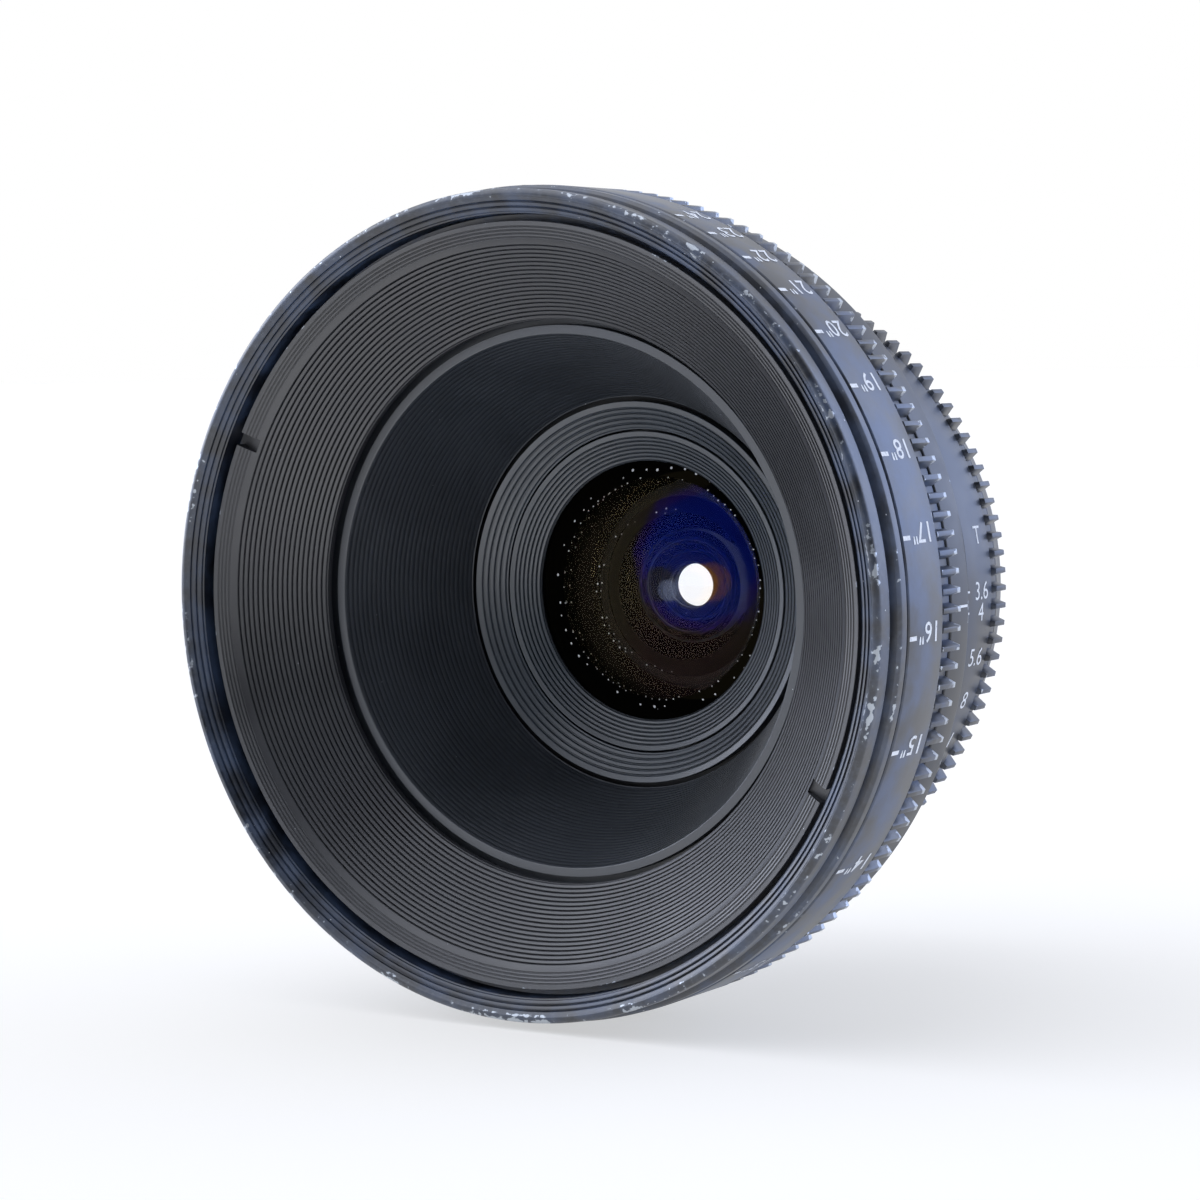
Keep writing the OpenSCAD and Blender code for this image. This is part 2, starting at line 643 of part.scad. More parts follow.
// Index sleeve: the fixed cover between the two geared rings
module index_sleeve() {
    front_in_r = tube_r + seat_clear;
    cone_s = sleeve_rear_s + sleeve_straight;
    channel_r = (front_in_r + sleeve_front_r) / 2;
    channel_half = stop_pin_r + 2 * seat_clear;
    pin_az = asin((2 * stop_pin_r + 2 * seat_clear) / (2 * channel_r)) * 2;
    color(black_anodised) difference() {
        turned([
            [sleeve_r - sleeve_wall, sleeve_rear_s], [sleeve_r - edge_break / 2, sleeve_rear_s],
            [sleeve_r, sleeve_rear_s + edge_break / 2], [sleeve_r, cone_s],
            [sleeve_front_r, sleeve_front_s - 2 * sleeve_seat_len],
            [sleeve_front_r, sleeve_front_s - edge_break / 2],
            [sleeve_front_r - edge_break / 2, sleeve_front_s], [front_in_r, sleeve_front_s],
            [front_in_r, seat_front_s], [sleeve_r - sleeve_wall, cone_s - sleeve_wall]]);
        ring_sector(channel_r + channel_half, channel_r - channel_half,
                    sleeve_front_s - stop_channel_deep, sleeve_front_s + cut,
                    stop_pin_az - focus_far_turn - pin_az / 2, stop_pin_az + focus_near_turn + pin_az / 2);
        for (i = [0:sleeve_screw_count - 1])
            radial_bar(sleeve_screw_r + seat_clear, sleeve_r - sleeve_wall - cut, sleeve_r + cut,
                       sleeve_screw_s, sleeve_screw_az(i));
    }
}

// Slotted screws that fix the index sleeve to the barrel
module sleeve_screws() {
    color(dark_steel) for (i = [0:sleeve_screw_count - 1]) difference() {
        radial_bar(sleeve_screw_r, sleeve_seat_r - sleeve_screw_len + edge_break, sleeve_r - edge_break / 2,
                   sleeve_screw_s, sleeve_screw_az(i));
        radial_block(edge_break, sleeve_r - 2 * edge_break, sleeve_r, sleeve_screw_s - sleeve_screw_r - cut,
                     sleeve_screw_s + sleeve_screw_r + cut, sleeve_screw_az(i));
    }
}

// Rear collar: holds the iris ring in place and tapers to the neck
module rear_collar() {
    color(black_anodised) difference() {
        turned([
            [collar_seat_r + seat_clear, collar_rear_s], [collar_rear_r - edge_break / 2, collar_rear_s],
            [collar_rear_r, collar_rear_s + edge_break / 2], [collar_front_r, collar_rear_s + collar_bevel],
            [collar_front_r, collar_front_s - edge_break / 2], [collar_front_r - edge_break / 2, collar_front_s],
            [collar_seat_r + seat_clear, collar_front_s]]);
        for (i = [0:collar_screw_count - 1])
            radial_bar(collar_screw_r + seat_clear, collar_seat_r, collar_front_r + cut,
                       collar_screw_s, collar_screw_az(i));
    }
}

// Slotted screws that fix the rear collar
module collar_screws() {
    color(dark_steel) for (i = [0:collar_screw_count - 1]) difference() {
        radial_bar(collar_screw_r, collar_seat_r - sleeve_screw_len + edge_break, collar_head_r,
                   collar_screw_s, collar_screw_az(i));
        radial_block(edge_break, collar_head_r - 2 * edge_break, collar_head_r + cut,
                     collar_screw_s - collar_screw_r - cut, collar_screw_s + collar_screw_r + cut,
                     collar_screw_az(i));
    }
}

// Shim that sets the flange focal distance
module mount_shim() {
    color(steel) difference() {
        ring(neck_r, rear_bore_r, flange_t, barrel_rear_s);
        for (i = [0:mount_screw_count - 1])
            axial_bar(mount_screw_r + seat_clear, mount_screw_ring_r, flange_t - cut, barrel_rear_s + cut,
                      mount_screw_az(i));
    }
}

// Breech-lock mount: four lugs, a locating slot and the spigot
module lens_mount() {
    color(steel) difference() {
        union() {
            turned([
                [rear_bore_r, -mount_spigot_len], [spigot_r - 2 * edge_break, -mount_spigot_len],
                [spigot_r, -mount_spigot_len + 2 * edge_break], [spigot_r, 0], [lug_root_r, 0],
                [lug_root_r, flange_t], [rear_bore_r, flange_t]]);
            for (i = [0:3])
                along_axis() rotate([0, 0, 45 + i * 90 - lug_angle / 2]) rotate_extrude(angle = lug_angle)
                    polygon([[lug_root_r - edge_break, 0], [lug_r, 0], [lug_r, flange_t - edge_break],
                             [lug_r - edge_break, flange_t], [lug_root_r - edge_break, flange_t]]);
        }
        radial_block(locating_slot_w, lug_r - slot_depth, lug_r + cut, -cut, flange_t + cut, 45);
        for (i = [0:mount_screw_count - 1]) {
            axial_bar(mount_screw_r + seat_clear, mount_screw_ring_r, -cut, flange_t + cut, mount_screw_az(i));
            axial_bar(mount_screw_head_r + seat_clear, mount_screw_ring_r, -cut, flange_t / 2,
                      mount_screw_az(i));
        }
    }
}

// Socket screws that hold the mount on the barrel
module mount_screws() {
    color(dark_steel) for (i = [0:mount_screw_count - 1]) difference() {
        union() {
            axial_bar(mount_screw_r, mount_screw_ring_r, flange_t / 2 - fuse,
                      barrel_rear_s + mount_screw_len - edge_break, mount_screw_az(i));
            axial_bar(mount_screw_head_r, mount_screw_ring_r, edge_break / 2, flange_t / 2, mount_screw_az(i));
        }
        along_axis() rotate([0, 0, mount_screw_az(i)]) translate([mount_screw_ring_r, 0, -cut])
            cylinder(r = mount_screw_r - edge_break / 4, h = cut + flange_t / 4, $fn = 6);
    }
}

// Light baffle inside the end of the spigot
module rear_baffle() {
    out_r = rear_bore_r - seat_clear;
    in_r = out_r - baffle_ring_wall;
    rear_s = edge_break - mount_spigot_len;
    front_s = rear_s + baffle_ring_len;
    color(black_matt) turned(concat(
        [[in_r, front_s], [out_r, front_s], [out_r, rear_s]],
        [for (i = [0:3], k = [0:1])
            [out_r - edge_break - (i + k) * (baffle_ring_wall - edge_break) / 4,
             rear_s + (i + 1) * baffle_ring_len / 8]]));
}

// Focus ring: scale band, gear and the recess that the drive keys reach into
module focus_ring() {
    stop_ring_r = (tube_r + seat_clear + sleeve_front_r) / 2;
    color(black_anodised) difference() {
        union() {
            turned([
                [focus_bore_r, key_recess_front_s], [recess_r, key_recess_front_s], [recess_r, focus_rear_s],
                [focus_root_r, focus_rear_s], [focus_root_r, focus_gear_s],
                [band_r, focus_gear_s], [band_r, focus_front_s - edge_break / 2],
                [band_r - edge_break / 2, focus_front_s], [focus_bore_r, focus_front_s]]);
            gear(focus_teeth, recess_r + edge_break, focus_rear_s, focus_gear_s + edge_break);
        }
        axial_bar(stop_pin_r + seat_clear, stop_ring_r, focus_rear_s - cut, focus_rear_s + stop_pin_len,
                  stop_pin_az);
    }
}

// Pin in the back of the focus ring that ends its turn
module focus_stop_pin() {
    stop_ring_r = (tube_r + seat_clear + sleeve_front_r) / 2;
    color(steel) axial_bar(stop_pin_r, stop_ring_r, sleeve_front_s - stop_channel_deep + edge_break,
                           focus_rear_s + stop_pin_len - edge_break / 2, stop_pin_az);
}

// Focus carrier: the sleeve that holds the optics and slides in the barrel
module focus_carrier() {
    sleeve_in_r = carrier_sleeve_r - carrier_wall;
    cone_front_s = carrier_cone_s + carrier_cone_len;
    web_rear_s = web_front_s - web_t;
    rear_s = rear_wall_front_s + far_travel + travel_clear;
    color(dark_steel) difference() {
        turned([
            [carrier_tube_in_r, rear_s], [guide_r, rear_s], [guide_r, carrier_cone_s],
            [carrier_sleeve_r, cone_front_s], [carrier_sleeve_r, carrier_front_s],
            [sleeve_in_r, carrier_front_s], [sleeve_in_r, cone_front_s + edge_break],
            [guide_r - carrier_wall, carrier_cone_s + edge_break], [guide_r - carrier_wall, web_front_s],
            [cell_body_r + seat_clear, web_front_s], [cell_body_r + seat_clear, web_rear_s],
            [carrier_tube_in_r, web_rear_s]]);
        ring_sector(guide_r + cut, carrier_tube_in_r - cut,
                    drive_pin_s - drive_pin_r - near_travel - travel_clear,
                    drive_pin_s + drive_pin_r + far_travel + travel_clear,
                    drive_pin_az - 2 * pin_margin_az, drive_pin_az + iris_turn + 2 * pin_margin_az);
        for (i = [0:key_count - 1])
            radial_bar(key_screw_r + seat_clear, sleeve_in_r - cut, carrier_sleeve_r + cut,
                       (key_front_s + key_rear_s) / 2, 90 + i * 360 / key_count);
    }
}

// Drive keys: each slides in a slot of the barrel and is moved by the focus ring
module drive_keys() {
    color(steel) for (i = [0:key_count - 1]) difference() {
        radial_block(key_w, carrier_sleeve_r + seat_clear, key_tip_r - edge_break, key_rear_s, key_front_s,
                     90 + i * 360 / key_count);
        radial_bar(key_screw_r + seat_clear, carrier_sleeve_r - cut, key_tip_r + cut,
                   (key_front_s + key_rear_s) / 2, 90 + i * 360 / key_count);
        radial_bar(key_screw_head_r - edge_break / 2, key_tip_r - edge_break - key_screw_head_t - edge_break,
                   key_tip_r + cut, (key_front_s + key_rear_s) / 2, 90 + i * 360 / key_count);
    }
}

// Screws through the drive keys into the carrier
module key_screws() {
    head_r = key_screw_head_r - edge_break / 2 - seat_clear;
    seat_r = key_tip_r - 2 * edge_break - key_screw_head_t;
    color(dark_steel) for (i = [0:key_count - 1]) union() {
        radial_bar(key_screw_r, carrier_sleeve_r - carrier_wall + edge_break, seat_r + edge_break,
                   (key_front_s + key_rear_s) / 2, 90 + i * 360 / key_count);
        radial_bar(head_r, seat_r, seat_r + key_screw_head_t, (key_front_s + key_rear_s) / 2,
                   90 + i * 360 / key_count);
    }
}

// Front cell: ribbed face, flange and the stepped bores for the front elements
module front_cell() {
    face_in_r = retainer_r + retainer_gap;
    face_in_s = cell_front_s - cell_face_drop;
    land_r = edge_r(3) - element_land;
    color(black_anodised) turned(concat(
        [[cell_body_r, housing_front_s], [cell_body_r, web_front_s], [cell_face_r, web_front_s],
         [cell_face_r, cell_front_s]],
        grooved([cell_face_r - edge_break, cell_front_s], [face_in_r, face_in_s], cell_ribs, groove_deep),
        [[face_in_r, face_in_s], [face_in_r, rim_front(0)],
         [bore(0), rim_front(0)], [bore(0), rim_front(1) + stack_clear],
         [bore(1), rim_front(1) + stack_clear], [bore(1), rim_rear(1)],
         [bore(2), rim_rear(1)], [bore(2), rim_rear(2)],
         [bore(3), rim_rear(2)], [bore(3), rear_seat(3, land_r)],
         [land_r, rear_seat(3, land_r)], [land_r, housing_front_s]]));
}

// Threaded nut that clamps the front cell to the carrier
module cell_nut() {
    web_rear_s = web_front_s - web_t;
    color(dark_steel) ring(cell_body_r + nut_wall, cell_body_r + seat_clear, web_rear_s - nut_len, web_rear_s);
}

// Ribbed retaining ring in front of the glass
module front_retainer() {
    lip_s = retainer_front_s - retainer_drop;
    lip_under_s = front_vertex(0) - sag(front_curve(0), retainer_in_r) + stack_clear;
    color(black_anodised) turned(concat(
        [[retainer_r, retainer_seat_s], [retainer_r, retainer_front_s]],
        grooved([retainer_r - edge_break, retainer_front_s], [retainer_in_r, lip_s], retainer_ribs, groove_deep),
        [[retainer_in_r, lip_s], [retainer_in_r, lip_under_s], [glass_r, retainer_seat_s]]));
}

// Spacer between the first two elements
module spacer_1() {
    in_r = edge_r(1) - edge_break / 2;
    color(black_matt) ring(glass_r, in_r, rim_front(1) + 2 * stack_clear, rim_rear(0) - stack_clear);
}

// Spacer between the third and fourth elements
module spacer_2() {
    in_r = edge_r(3) - element_land;
    color(black_matt) ring(edge_r(3), in_r, front_seat(3, edge_r(3), in_r), rear_seat(2, in_r));
}

// Glass element: a cylinder cut by its two spherical faces
module element(i) {
    front_c = front_curve(i);
    rear_c = rear_curve(i);
    from_s = rear_c < 0 ? rear_vertex(i) - cut : rim_rear(i);
    to_s = front_c > 0 ? front_vertex(i) + cut : rim_front(i);
    color(glass_tint) along_axis() difference() {
        intersection() {
            translate([0, 0, from_s]) cylinder(r = edge_r(i), h = to_s - from_s);
            if (front_c > 0)
                translate([0, 0, front_vertex(i) - front_c]) sphere(r = front_c);
            if (rear_c < 0)
                translate([0, 0, rear_vertex(i) - rear_c]) sphere(r = -rear_c);
        }
        if (front_c < 0)
            translate([0, 0, front_vertex(i) - front_c]) sphere(r = -front_c);
        if (rear_c > 0)
            translate([0, 0, rear_vertex(i) - rear_c]) sphere(r = rear_c);
    }
}

// Iris housing: pivot plate in front and a wall with a window for the cam arm
module iris_housing() {
    color(black_matt) difference() {
        turned([
            [stop_r, stack_front_s], [housing_bore_r, stack_front_s], [housing_bore_r, rear_cell_s],
            [housing_r, rear_cell_s], [housing_r, housing_front_s], [stop_r + edge_break, housing_front_s]]);
        for (i = [0:blade_count - 1])
            axial_bar(blade_pin_r + run_clear, pivot_ring_r, stack_front_s - cut,
                      housing_front_s - edge_break, i * blade_step);
        ring_sector(housing_r + cut, housing_bore_r - cut, rear_cell_s + plate_t / 2,
                    cam_front_s + slip_gap, drive_pin_az - window_margin,
                    drive_pin_az + iris_turn + window_margin);
    }
}

// One iris blade with its pivot pin in front and its drive pin behind
module iris_blade(i) {
    front_s = stack_front_s - stack_clear - i * blade_pitch;
    rear_s = front_s - blade_t;
    mid_s = front_s - blade_t / 2;
    tip_r = blade_in_r + blade_w / 2;
    color(blade_black) rotate([0, -i * blade_step, 0]) union() {
        along_axis() translate([0, 0, rear_s]) linear_extrude(blade_t) union() {
            intersection() {
                difference() {
                    circle(r = blade_out_r);
                    circle(r = blade_in_r);
                }
                polygon(concat([[0, 0]], [for (k = [0:6])
                    let (az = blade_start_angle + (blade_angle - blade_start_angle) * k / 6)
                    [2 * blade_out_r * cos(az), 2 * blade_out_r * sin(az)]]));
            }
            rotate(blade_angle) translate([tip_r, 0]) circle(r = blade_w / 2 - run_clear);
            translate([pivot_ring_r, 0]) circle(r = blade_lug_r);
            translate([tip_r, run_clear - blade_lug_r])
                square([pivot_ring_r - tip_r, 2 * (blade_lug_r - run_clear)]);
            rotate(drive_ring_az) translate([tip_r, -blade_pin_r - blade_back])
                square([drive_ring_r - tip_r, 2 * (blade_pin_r + blade_back)]);
            rotate(drive_ring_az) translate([drive_ring_r, 0]) circle(r = blade_pin_r + edge_break);
        }
        axial_bar(blade_pin_r, pivot_ring_r, mid_s, housing_front_s - edge_break - stack_clear, 0);
        axial_bar(blade_pin_r, drive_ring_r, cam_rear_s + stack_clear, mid_s, drive_ring_az);
    }
}

// Path of a blade's drive pin, seen from the cam ring, at a share of the travel
function slot_point(share) =
    let (start = [drive_ring_r * cos(drive_ring_az) - pivot_ring_r, drive_ring_r * sin(drive_ring_az)],
         turn = blade_turn * share,
         at = [pivot_ring_r + start[0] * cos(turn) - start[1] * sin(turn),
               start[0] * sin(turn) + start[1] * cos(turn)],
         back = -iris_turn * share)
    [at[0] * cos(back) - at[1] * sin(back), at[0] * sin(back) + at[1] * cos(back)];

// Direction square to that path
function slot_normal(share) =
    let (step = slot_point(share + slot_probe_share) - slot_point(share - slot_probe_share))
    [-step[1], step[0]] / norm(step);

// Cam slot: the drive pin's path widened to the pin and closed by round ends
module cam_slot() {
    polygon(concat(
        [for (k = [0:slot_points]) slot_point(k / slot_points) + cam_slot_r * slot_normal(k / slot_points)],
        [for (k = [slot_points:-1:0])
            slot_point(k / slot_points) - cam_slot_r * slot_normal(k / slot_points)]));
    for (share = [0, 1])
        translate(slot_point(share)) circle(r = cam_slot_r, $fn = 32);
}

// Iris cam ring with one slot for each blade, and the arm and fork that turn it
module iris_cam_ring() {
    fork_s = drive_pin_s + finger_end + far_travel;
    fork_slot_w = 2 * (drive_pin_r + run_clear);
    color(dark_steel) difference() {
        union() {
            along_axis() translate([0, 0, cam_rear_s]) linear_extrude(plate_t) difference() {
                circle(r = cam_r);
                circle(r = cam_in_r);
                for (i = [0:blade_count - 1]) rotate(i * blade_step) cam_slot();
            }
            radial_block(arm_w, cam_r - edge_break, finger_in_r + finger_t, cam_rear_s, cam_front_s,
                         drive_pin_az);
            radial_block(finger_w, finger_in_r, finger_in_r + finger_t, cam_rear_s, fork_s, drive_pin_az);
        }
        radial_block(fork_slot_w, finger_in_r - cut, finger_in_r + finger_t + cut,
                     drive_pin_s - drive_pin_r - near_travel - travel_clear - finger_end, fork_s + cut,
                     drive_pin_az);
    }
}

// Ring that keeps the cam ring in its housing
module iris_cover() {
    color(black_matt) ring(housing_bore_r - seat_clear, blade_in_r, cover_rear_s, cover_front_s);
}

// Rear cell: flange and the stepped bores for the rear elements
module rear_cell() {
    land_r = edge_r(front_count) - element_land;
    color(black_anodised) turned(concat([
        [land_r, rear_cell_s], [housing_r, rear_cell_s],
        [housing_r, rear_cell_s - rear_cell_flange_t], [rear_cell_r + edge_break, rear_cell_s - rear_cell_flange_t],
        [rear_cell_r, rear_cell_s - rear_cell_flange_t - edge_break],
        [rear_cell_r, rear_cell_end_s + edge_break], [rear_cell_r - edge_break, rear_cell_end_s],
        [bore(last), rear_cell_end_s]],
        [for (i = [last:-1:front_count + 2], r = [bore(i), bore(i - 1)])
            [r, front_seat(i, edge_r(i), bore(i - 1))]],
        [[bore(front_count + 1), rim_rear(front_count)], [bore(front_count), rim_rear(front_count)],
         [bore(front_count), rim_front(front_count)], [land_r, rim_front(front_count)]]));
}

// Spacer between two rear elements
module rear_spacer(i) {
    in_r = edge_r(i) - element_land;
    color(black_matt) ring(edge_r(i), in_r, front_seat(i + 1, edge_r(i), in_r), rear_seat(i, in_r));
}

// Ring behind the last element
module rear_retainer() {
    in_r = edge_r(last) - 2 * element_land;
    color(black_matt) ring(edge_r(last), in_r, rear_cell_end_s + edge_break / 2, rear_seat(last, in_r));
}

// Iris ring: T-stop strip, gear and the hole for the drive pin
module iris_ring() {
    in_r = iris_bearing_r + run_clear;
    color(black_anodised) difference() {
        union() {
            turned([
                [in_r, iris_rear_s], [iris_root_r, iris_rear_s],
                [iris_root_r, iris_gear_s - edge_break / 2], [strip_r, iris_gear_s],
                [strip_r, iris_front_s - edge_break / 2], [strip_r - edge_break / 2, iris_front_s],
                [in_r, iris_front_s]]);
            gear(iris_teeth, in_r + edge_break, iris_rear_s, iris_gear_s);
        }
        radial_bar(drive_pin_r + seat_clear, in_r - cut, strip_r + cut, drive_pin_s, drive_pin_az);
        radial_bar(pin_head_r + seat_clear, strip_r - pin_head_t - edge_break, strip_r + cut, drive_pin_s,
                   drive_pin_az);
    }
}

// Screw pin that links the iris ring to the fork of the cam ring
module iris_drive_pin() {
    head_s = strip_r - pin_head_t - edge_break;
    color(dark_steel) union() {
        radial_bar(drive_pin_r, finger_in_r, head_s + edge_break, drive_pin_s, drive_pin_az);
        radial_bar(pin_head_r, head_s, head_s + pin_head_t, drive_pin_s, drive_pin_az);
    }
}

front_ring();
outer_baffle();
main_barrel();
index_sleeve();
sleeve_screws();
rear_collar();
collar_screws();
mount_shim();
lens_mount();
mount_screws();
rear_baffle();
focus_ring();
focus_stop_pin();
focus_carrier();
drive_keys();
key_screws();
inner_baffle();
front_cell();
cell_nut();
front_retainer();
spacer_1();
spacer_2();
for (i = [0:len(element_shares) - 1])
    element(i);
iris_housing();
iris_cover();
rear_cell();
for (i = [1:3])
    rear_spacer(i + 4);
rear_retainer();
iris_ring();
iris_drive_pin();
iris_cam_ring();
for (i = [0:blade_count - 1])
    iris_blade(i);
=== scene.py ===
"""Looks of the cine prime lens: turned and anodised rings, baffles, coated glass, scales and the studio."""

import logging
import math
from dataclasses import dataclass, field, replace
from enum import Enum
from typing import Callable, Iterable, Sequence

import bmesh
import bpy
from mathutils import Matrix, Vector


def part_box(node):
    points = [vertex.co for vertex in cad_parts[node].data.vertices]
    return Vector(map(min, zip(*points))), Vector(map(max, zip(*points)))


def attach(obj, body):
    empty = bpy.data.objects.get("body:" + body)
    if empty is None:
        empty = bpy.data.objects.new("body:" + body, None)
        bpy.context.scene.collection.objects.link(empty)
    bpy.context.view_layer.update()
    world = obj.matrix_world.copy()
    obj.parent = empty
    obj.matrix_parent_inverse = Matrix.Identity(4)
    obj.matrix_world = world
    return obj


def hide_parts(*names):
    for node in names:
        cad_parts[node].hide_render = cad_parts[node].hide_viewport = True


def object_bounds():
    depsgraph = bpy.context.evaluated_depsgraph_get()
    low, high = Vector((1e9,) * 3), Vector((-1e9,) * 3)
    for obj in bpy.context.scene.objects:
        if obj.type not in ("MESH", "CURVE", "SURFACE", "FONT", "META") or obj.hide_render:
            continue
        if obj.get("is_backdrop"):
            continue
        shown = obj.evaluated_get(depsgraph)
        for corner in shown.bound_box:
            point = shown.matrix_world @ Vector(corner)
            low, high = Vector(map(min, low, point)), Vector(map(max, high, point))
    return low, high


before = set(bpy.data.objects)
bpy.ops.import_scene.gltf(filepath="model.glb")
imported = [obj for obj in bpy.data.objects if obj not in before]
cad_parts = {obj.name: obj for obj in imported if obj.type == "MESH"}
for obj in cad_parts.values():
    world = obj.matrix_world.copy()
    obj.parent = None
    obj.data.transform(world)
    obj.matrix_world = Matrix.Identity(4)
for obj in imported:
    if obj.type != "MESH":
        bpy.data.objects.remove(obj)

log = logging.getLogger("lens")

MM = 0.001
AXIS = Vector((0.0, 1.0, 0.0))
WHITE = (1.0, 1.0, 1.0, 1.0)

# Facets round the axis: of rings, of the glass, of a lug and of a small hole.
ROUND_STEPS = 288
SMALL_STEPS = 128
LUG_STEPS = 48
HOLE_STEPS = 32

# Corners: what counts as sharp or straight, and how far a rounding may reach along an edge.
SHARP_ANGLE = math.radians(24)
STRAIGHT_COSINE = -0.985
ROUND_SHARE = 0.42
LEAST_ROUND = 1e-4
NO_LENGTH = 1e-6
WELD_M = 1e-8

# Millimetres: roundings, broken corners, depth of a light-trap groove, and how far a cutter sticks out.
RING_ROUND = 0.12
MOUNT_ROUND = 0.1
GEAR_ROUND = 0.08
RIB_ROUND = 0.07
RETAINER_ROUND = 0.06
BROKEN = 0.4
GROOVE = 0.32
OVERCUT = 1.0

Point = tuple[float, float]


def linear(colour: str, alpha: float = 1.0) -> tuple[float, float, float, float]:
    """Turns an sRGB hex value to the linear colour that a shader takes.

    Args:
        colour: the value, such as "#2b2d31".
        alpha: the fourth channel.

    Returns:
        Red, green, blue and alpha.
    """
    channels = [int(colour[i : i + 2], 16) / 255 for i in (1, 3, 5)]
    red, green, blue = [c / 12.92 if c <= 0.04045 else ((c + 0.055) / 1.055) ** 2.4 for c in channels]
    return (red, green, blue, alpha)


class Shader:
    """The node tree of a material or of the world, with one way to add a node."""

    def __init__(self, name: str, world: bpy.types.World | None = None) -> None:
        """Starts an empty tree.

        Args:
            name: what the finish is called.
            world: the world that the tree belongs to, or None for a new material.
        """
        self.owner = world or bpy.data.materials.new(name)
        self.owner.use_nodes = True
        self.tree = self.owner.node_tree
        self.tree.nodes.clear()
        self.output = self.add("ShaderNodeOutputWorld" if world else "ShaderNodeOutputMaterial")
        self.place = self.add("ShaderNodeTexCoord").outputs["Generated" if world else "Object"]

    def add(self, kind: str, inputs: dict | None = None, **settings: object) -> bpy.types.Node:
        """Adds one node.

        Args:
            kind: the node's type name.
            inputs: socket name or number to a value, or to the output socket that feeds it.
            settings: the node's own settings.

        Returns:
            The new node.
        """
        made = self.tree.nodes.new(kind)
        for key, value in settings.items():
            setattr(made, key, value)
        for key, value in (inputs or {}).items():
            if isinstance(value, bpy.types.NodeSocket):
                self.tree.links.new(value, made.inputs[key])
            else:
                made.inputs[key].default_value = value
        return made

    def maths(self, operation: str, *values: object, clamp: bool = False) -> bpy.types.NodeSocket:
        """Works out one number from others.

        Args:
            operation: the Math node's operation.
            values: numbers or sockets.
            clamp: keeps the result between 0 and 1.

        Returns:
            The result's socket.
        """
        inputs = dict(enumerate(values))
        return self.add("ShaderNodeMath", inputs, operation=operation, use_clamp=clamp).outputs[0]

    def mixed(self, share: object, first: object, second: object) -> bpy.types.NodeSocket:
        """Mixes two colours by a share.

        Args:
            share: how much of the second shows.
            first: colour or socket.
            second: colour or socket.

        Returns:
            The mixed colour's socket.
        """
        inputs = {"Factor": share, "A": first, "B": second}
        node = self.add("ShaderNodeMix", data_type="RGBA")
        for key, value in inputs.items():
            socket = next(s for s in node.inputs if s.name == key and s.enabled)
            if isinstance(value, bpy.types.NodeSocket):
                self.tree.links.new(value, socket)
            else:
                socket.default_value = value
        return next(s for s in node.outputs if s.enabled)

    def ramped(self, value: object, low: float, high: float, to_low: float = 0.0,
               to_high: float = 1.0) -> bpy.types.NodeSocket:
        """Maps a number from one range to another with eased ends, and clamps it.

        Args:
            value: the number's socket.
            low: where the range starts.
            high: where it ends.
            to_low: result at the start.
            to_high: result at the end.

        Returns:
            The result's socket.
        """
        inputs = {"Value": value, "From Min": low, "From Max": high, "To Min": to_low, "To Max": to_high}
        return self.add("ShaderNodeMapRange", inputs, interpolation_type="SMOOTHSTEP").outputs["Result"]

    def noise(self, size_mm: float, detail: float = 2.0) -> bpy.types.NodeSocket:
        """Gives cloudy noise whose blotches have a real size.

        Args:
            size_mm: width of a blotch.
            detail: octaves of finer noise.

        Returns:
            The noise value's socket, 0 to 1.
        """
        inputs = {"Vector": self.place, "Scale": 1 / (size_mm * MM), "Detail": detail}
        return self.add("ShaderNodeTexNoise", inputs).outputs[0]

    def turned(self, pitch_mm: float, detail: float) -> bpy.types.NodeSocket:
        """Gives the fine marks that a lathe leaves round the axis.

        Args:
            pitch_mm: distance between two marks.
            detail: octaves of finer marks.

        Returns:
            The noise value's socket, 0 to 1.
        """
        place = self.add("ShaderNodeCombineXYZ", {0: self.radius_mm(), 1: self.along_mm()}).outputs[0]
        inputs = {"Vector": place, "Scale": 1 / pitch_mm, "Detail": detail}
        return self.add("ShaderNodeTexNoise", inputs).outputs[0]

    def length(self, x: object, z: object) -> bpy.types.NodeSocket:
        """Length of the flat vector with the two given parts."""
        flat = self.add("ShaderNodeCombineXYZ", {0: x, 1: z}).outputs[0]
        return self.add("ShaderNodeVectorMath", {0: flat}, operation="LENGTH").outputs["Value"]

    def parts(self) -> bpy.types.bpy_prop_collection:
        """Splits the place on the object into its three parts, in metres."""
        return self.add("ShaderNodeSeparateXYZ", {0: self.place}).outputs

    def radius_mm(self) -> bpy.types.NodeSocket:
        """Distance from the optical axis in millimetres."""
        parts = self.parts()
        return self.maths("MULTIPLY", self.length(parts["X"], parts["Z"]), 1 / MM)

    def along_mm(self) -> bpy.types.NodeSocket:
        """Distance in front of the mount's seating face in millimetres."""
        return self.maths("MULTIPLY", self.parts()["Y"], -1 / MM)

    def across_mm(self, centre: Point = (0.0, 0.0)) -> list[bpy.types.NodeSocket]:
        """Distance from a middle on the face, sideways and upwards in millimetres.

        Args:
            centre: the middle, sideways and upwards from the axis.

        Returns:
            The two distances' sockets.
        """
        parts = self.parts()
        found = [self.maths("MULTIPLY", parts[name], 1 / MM) for name in "XZ"]
        if any(centre):
            found = [self.maths("SUBTRACT", part, middle) for part, middle in zip(found, centre)]
        return found

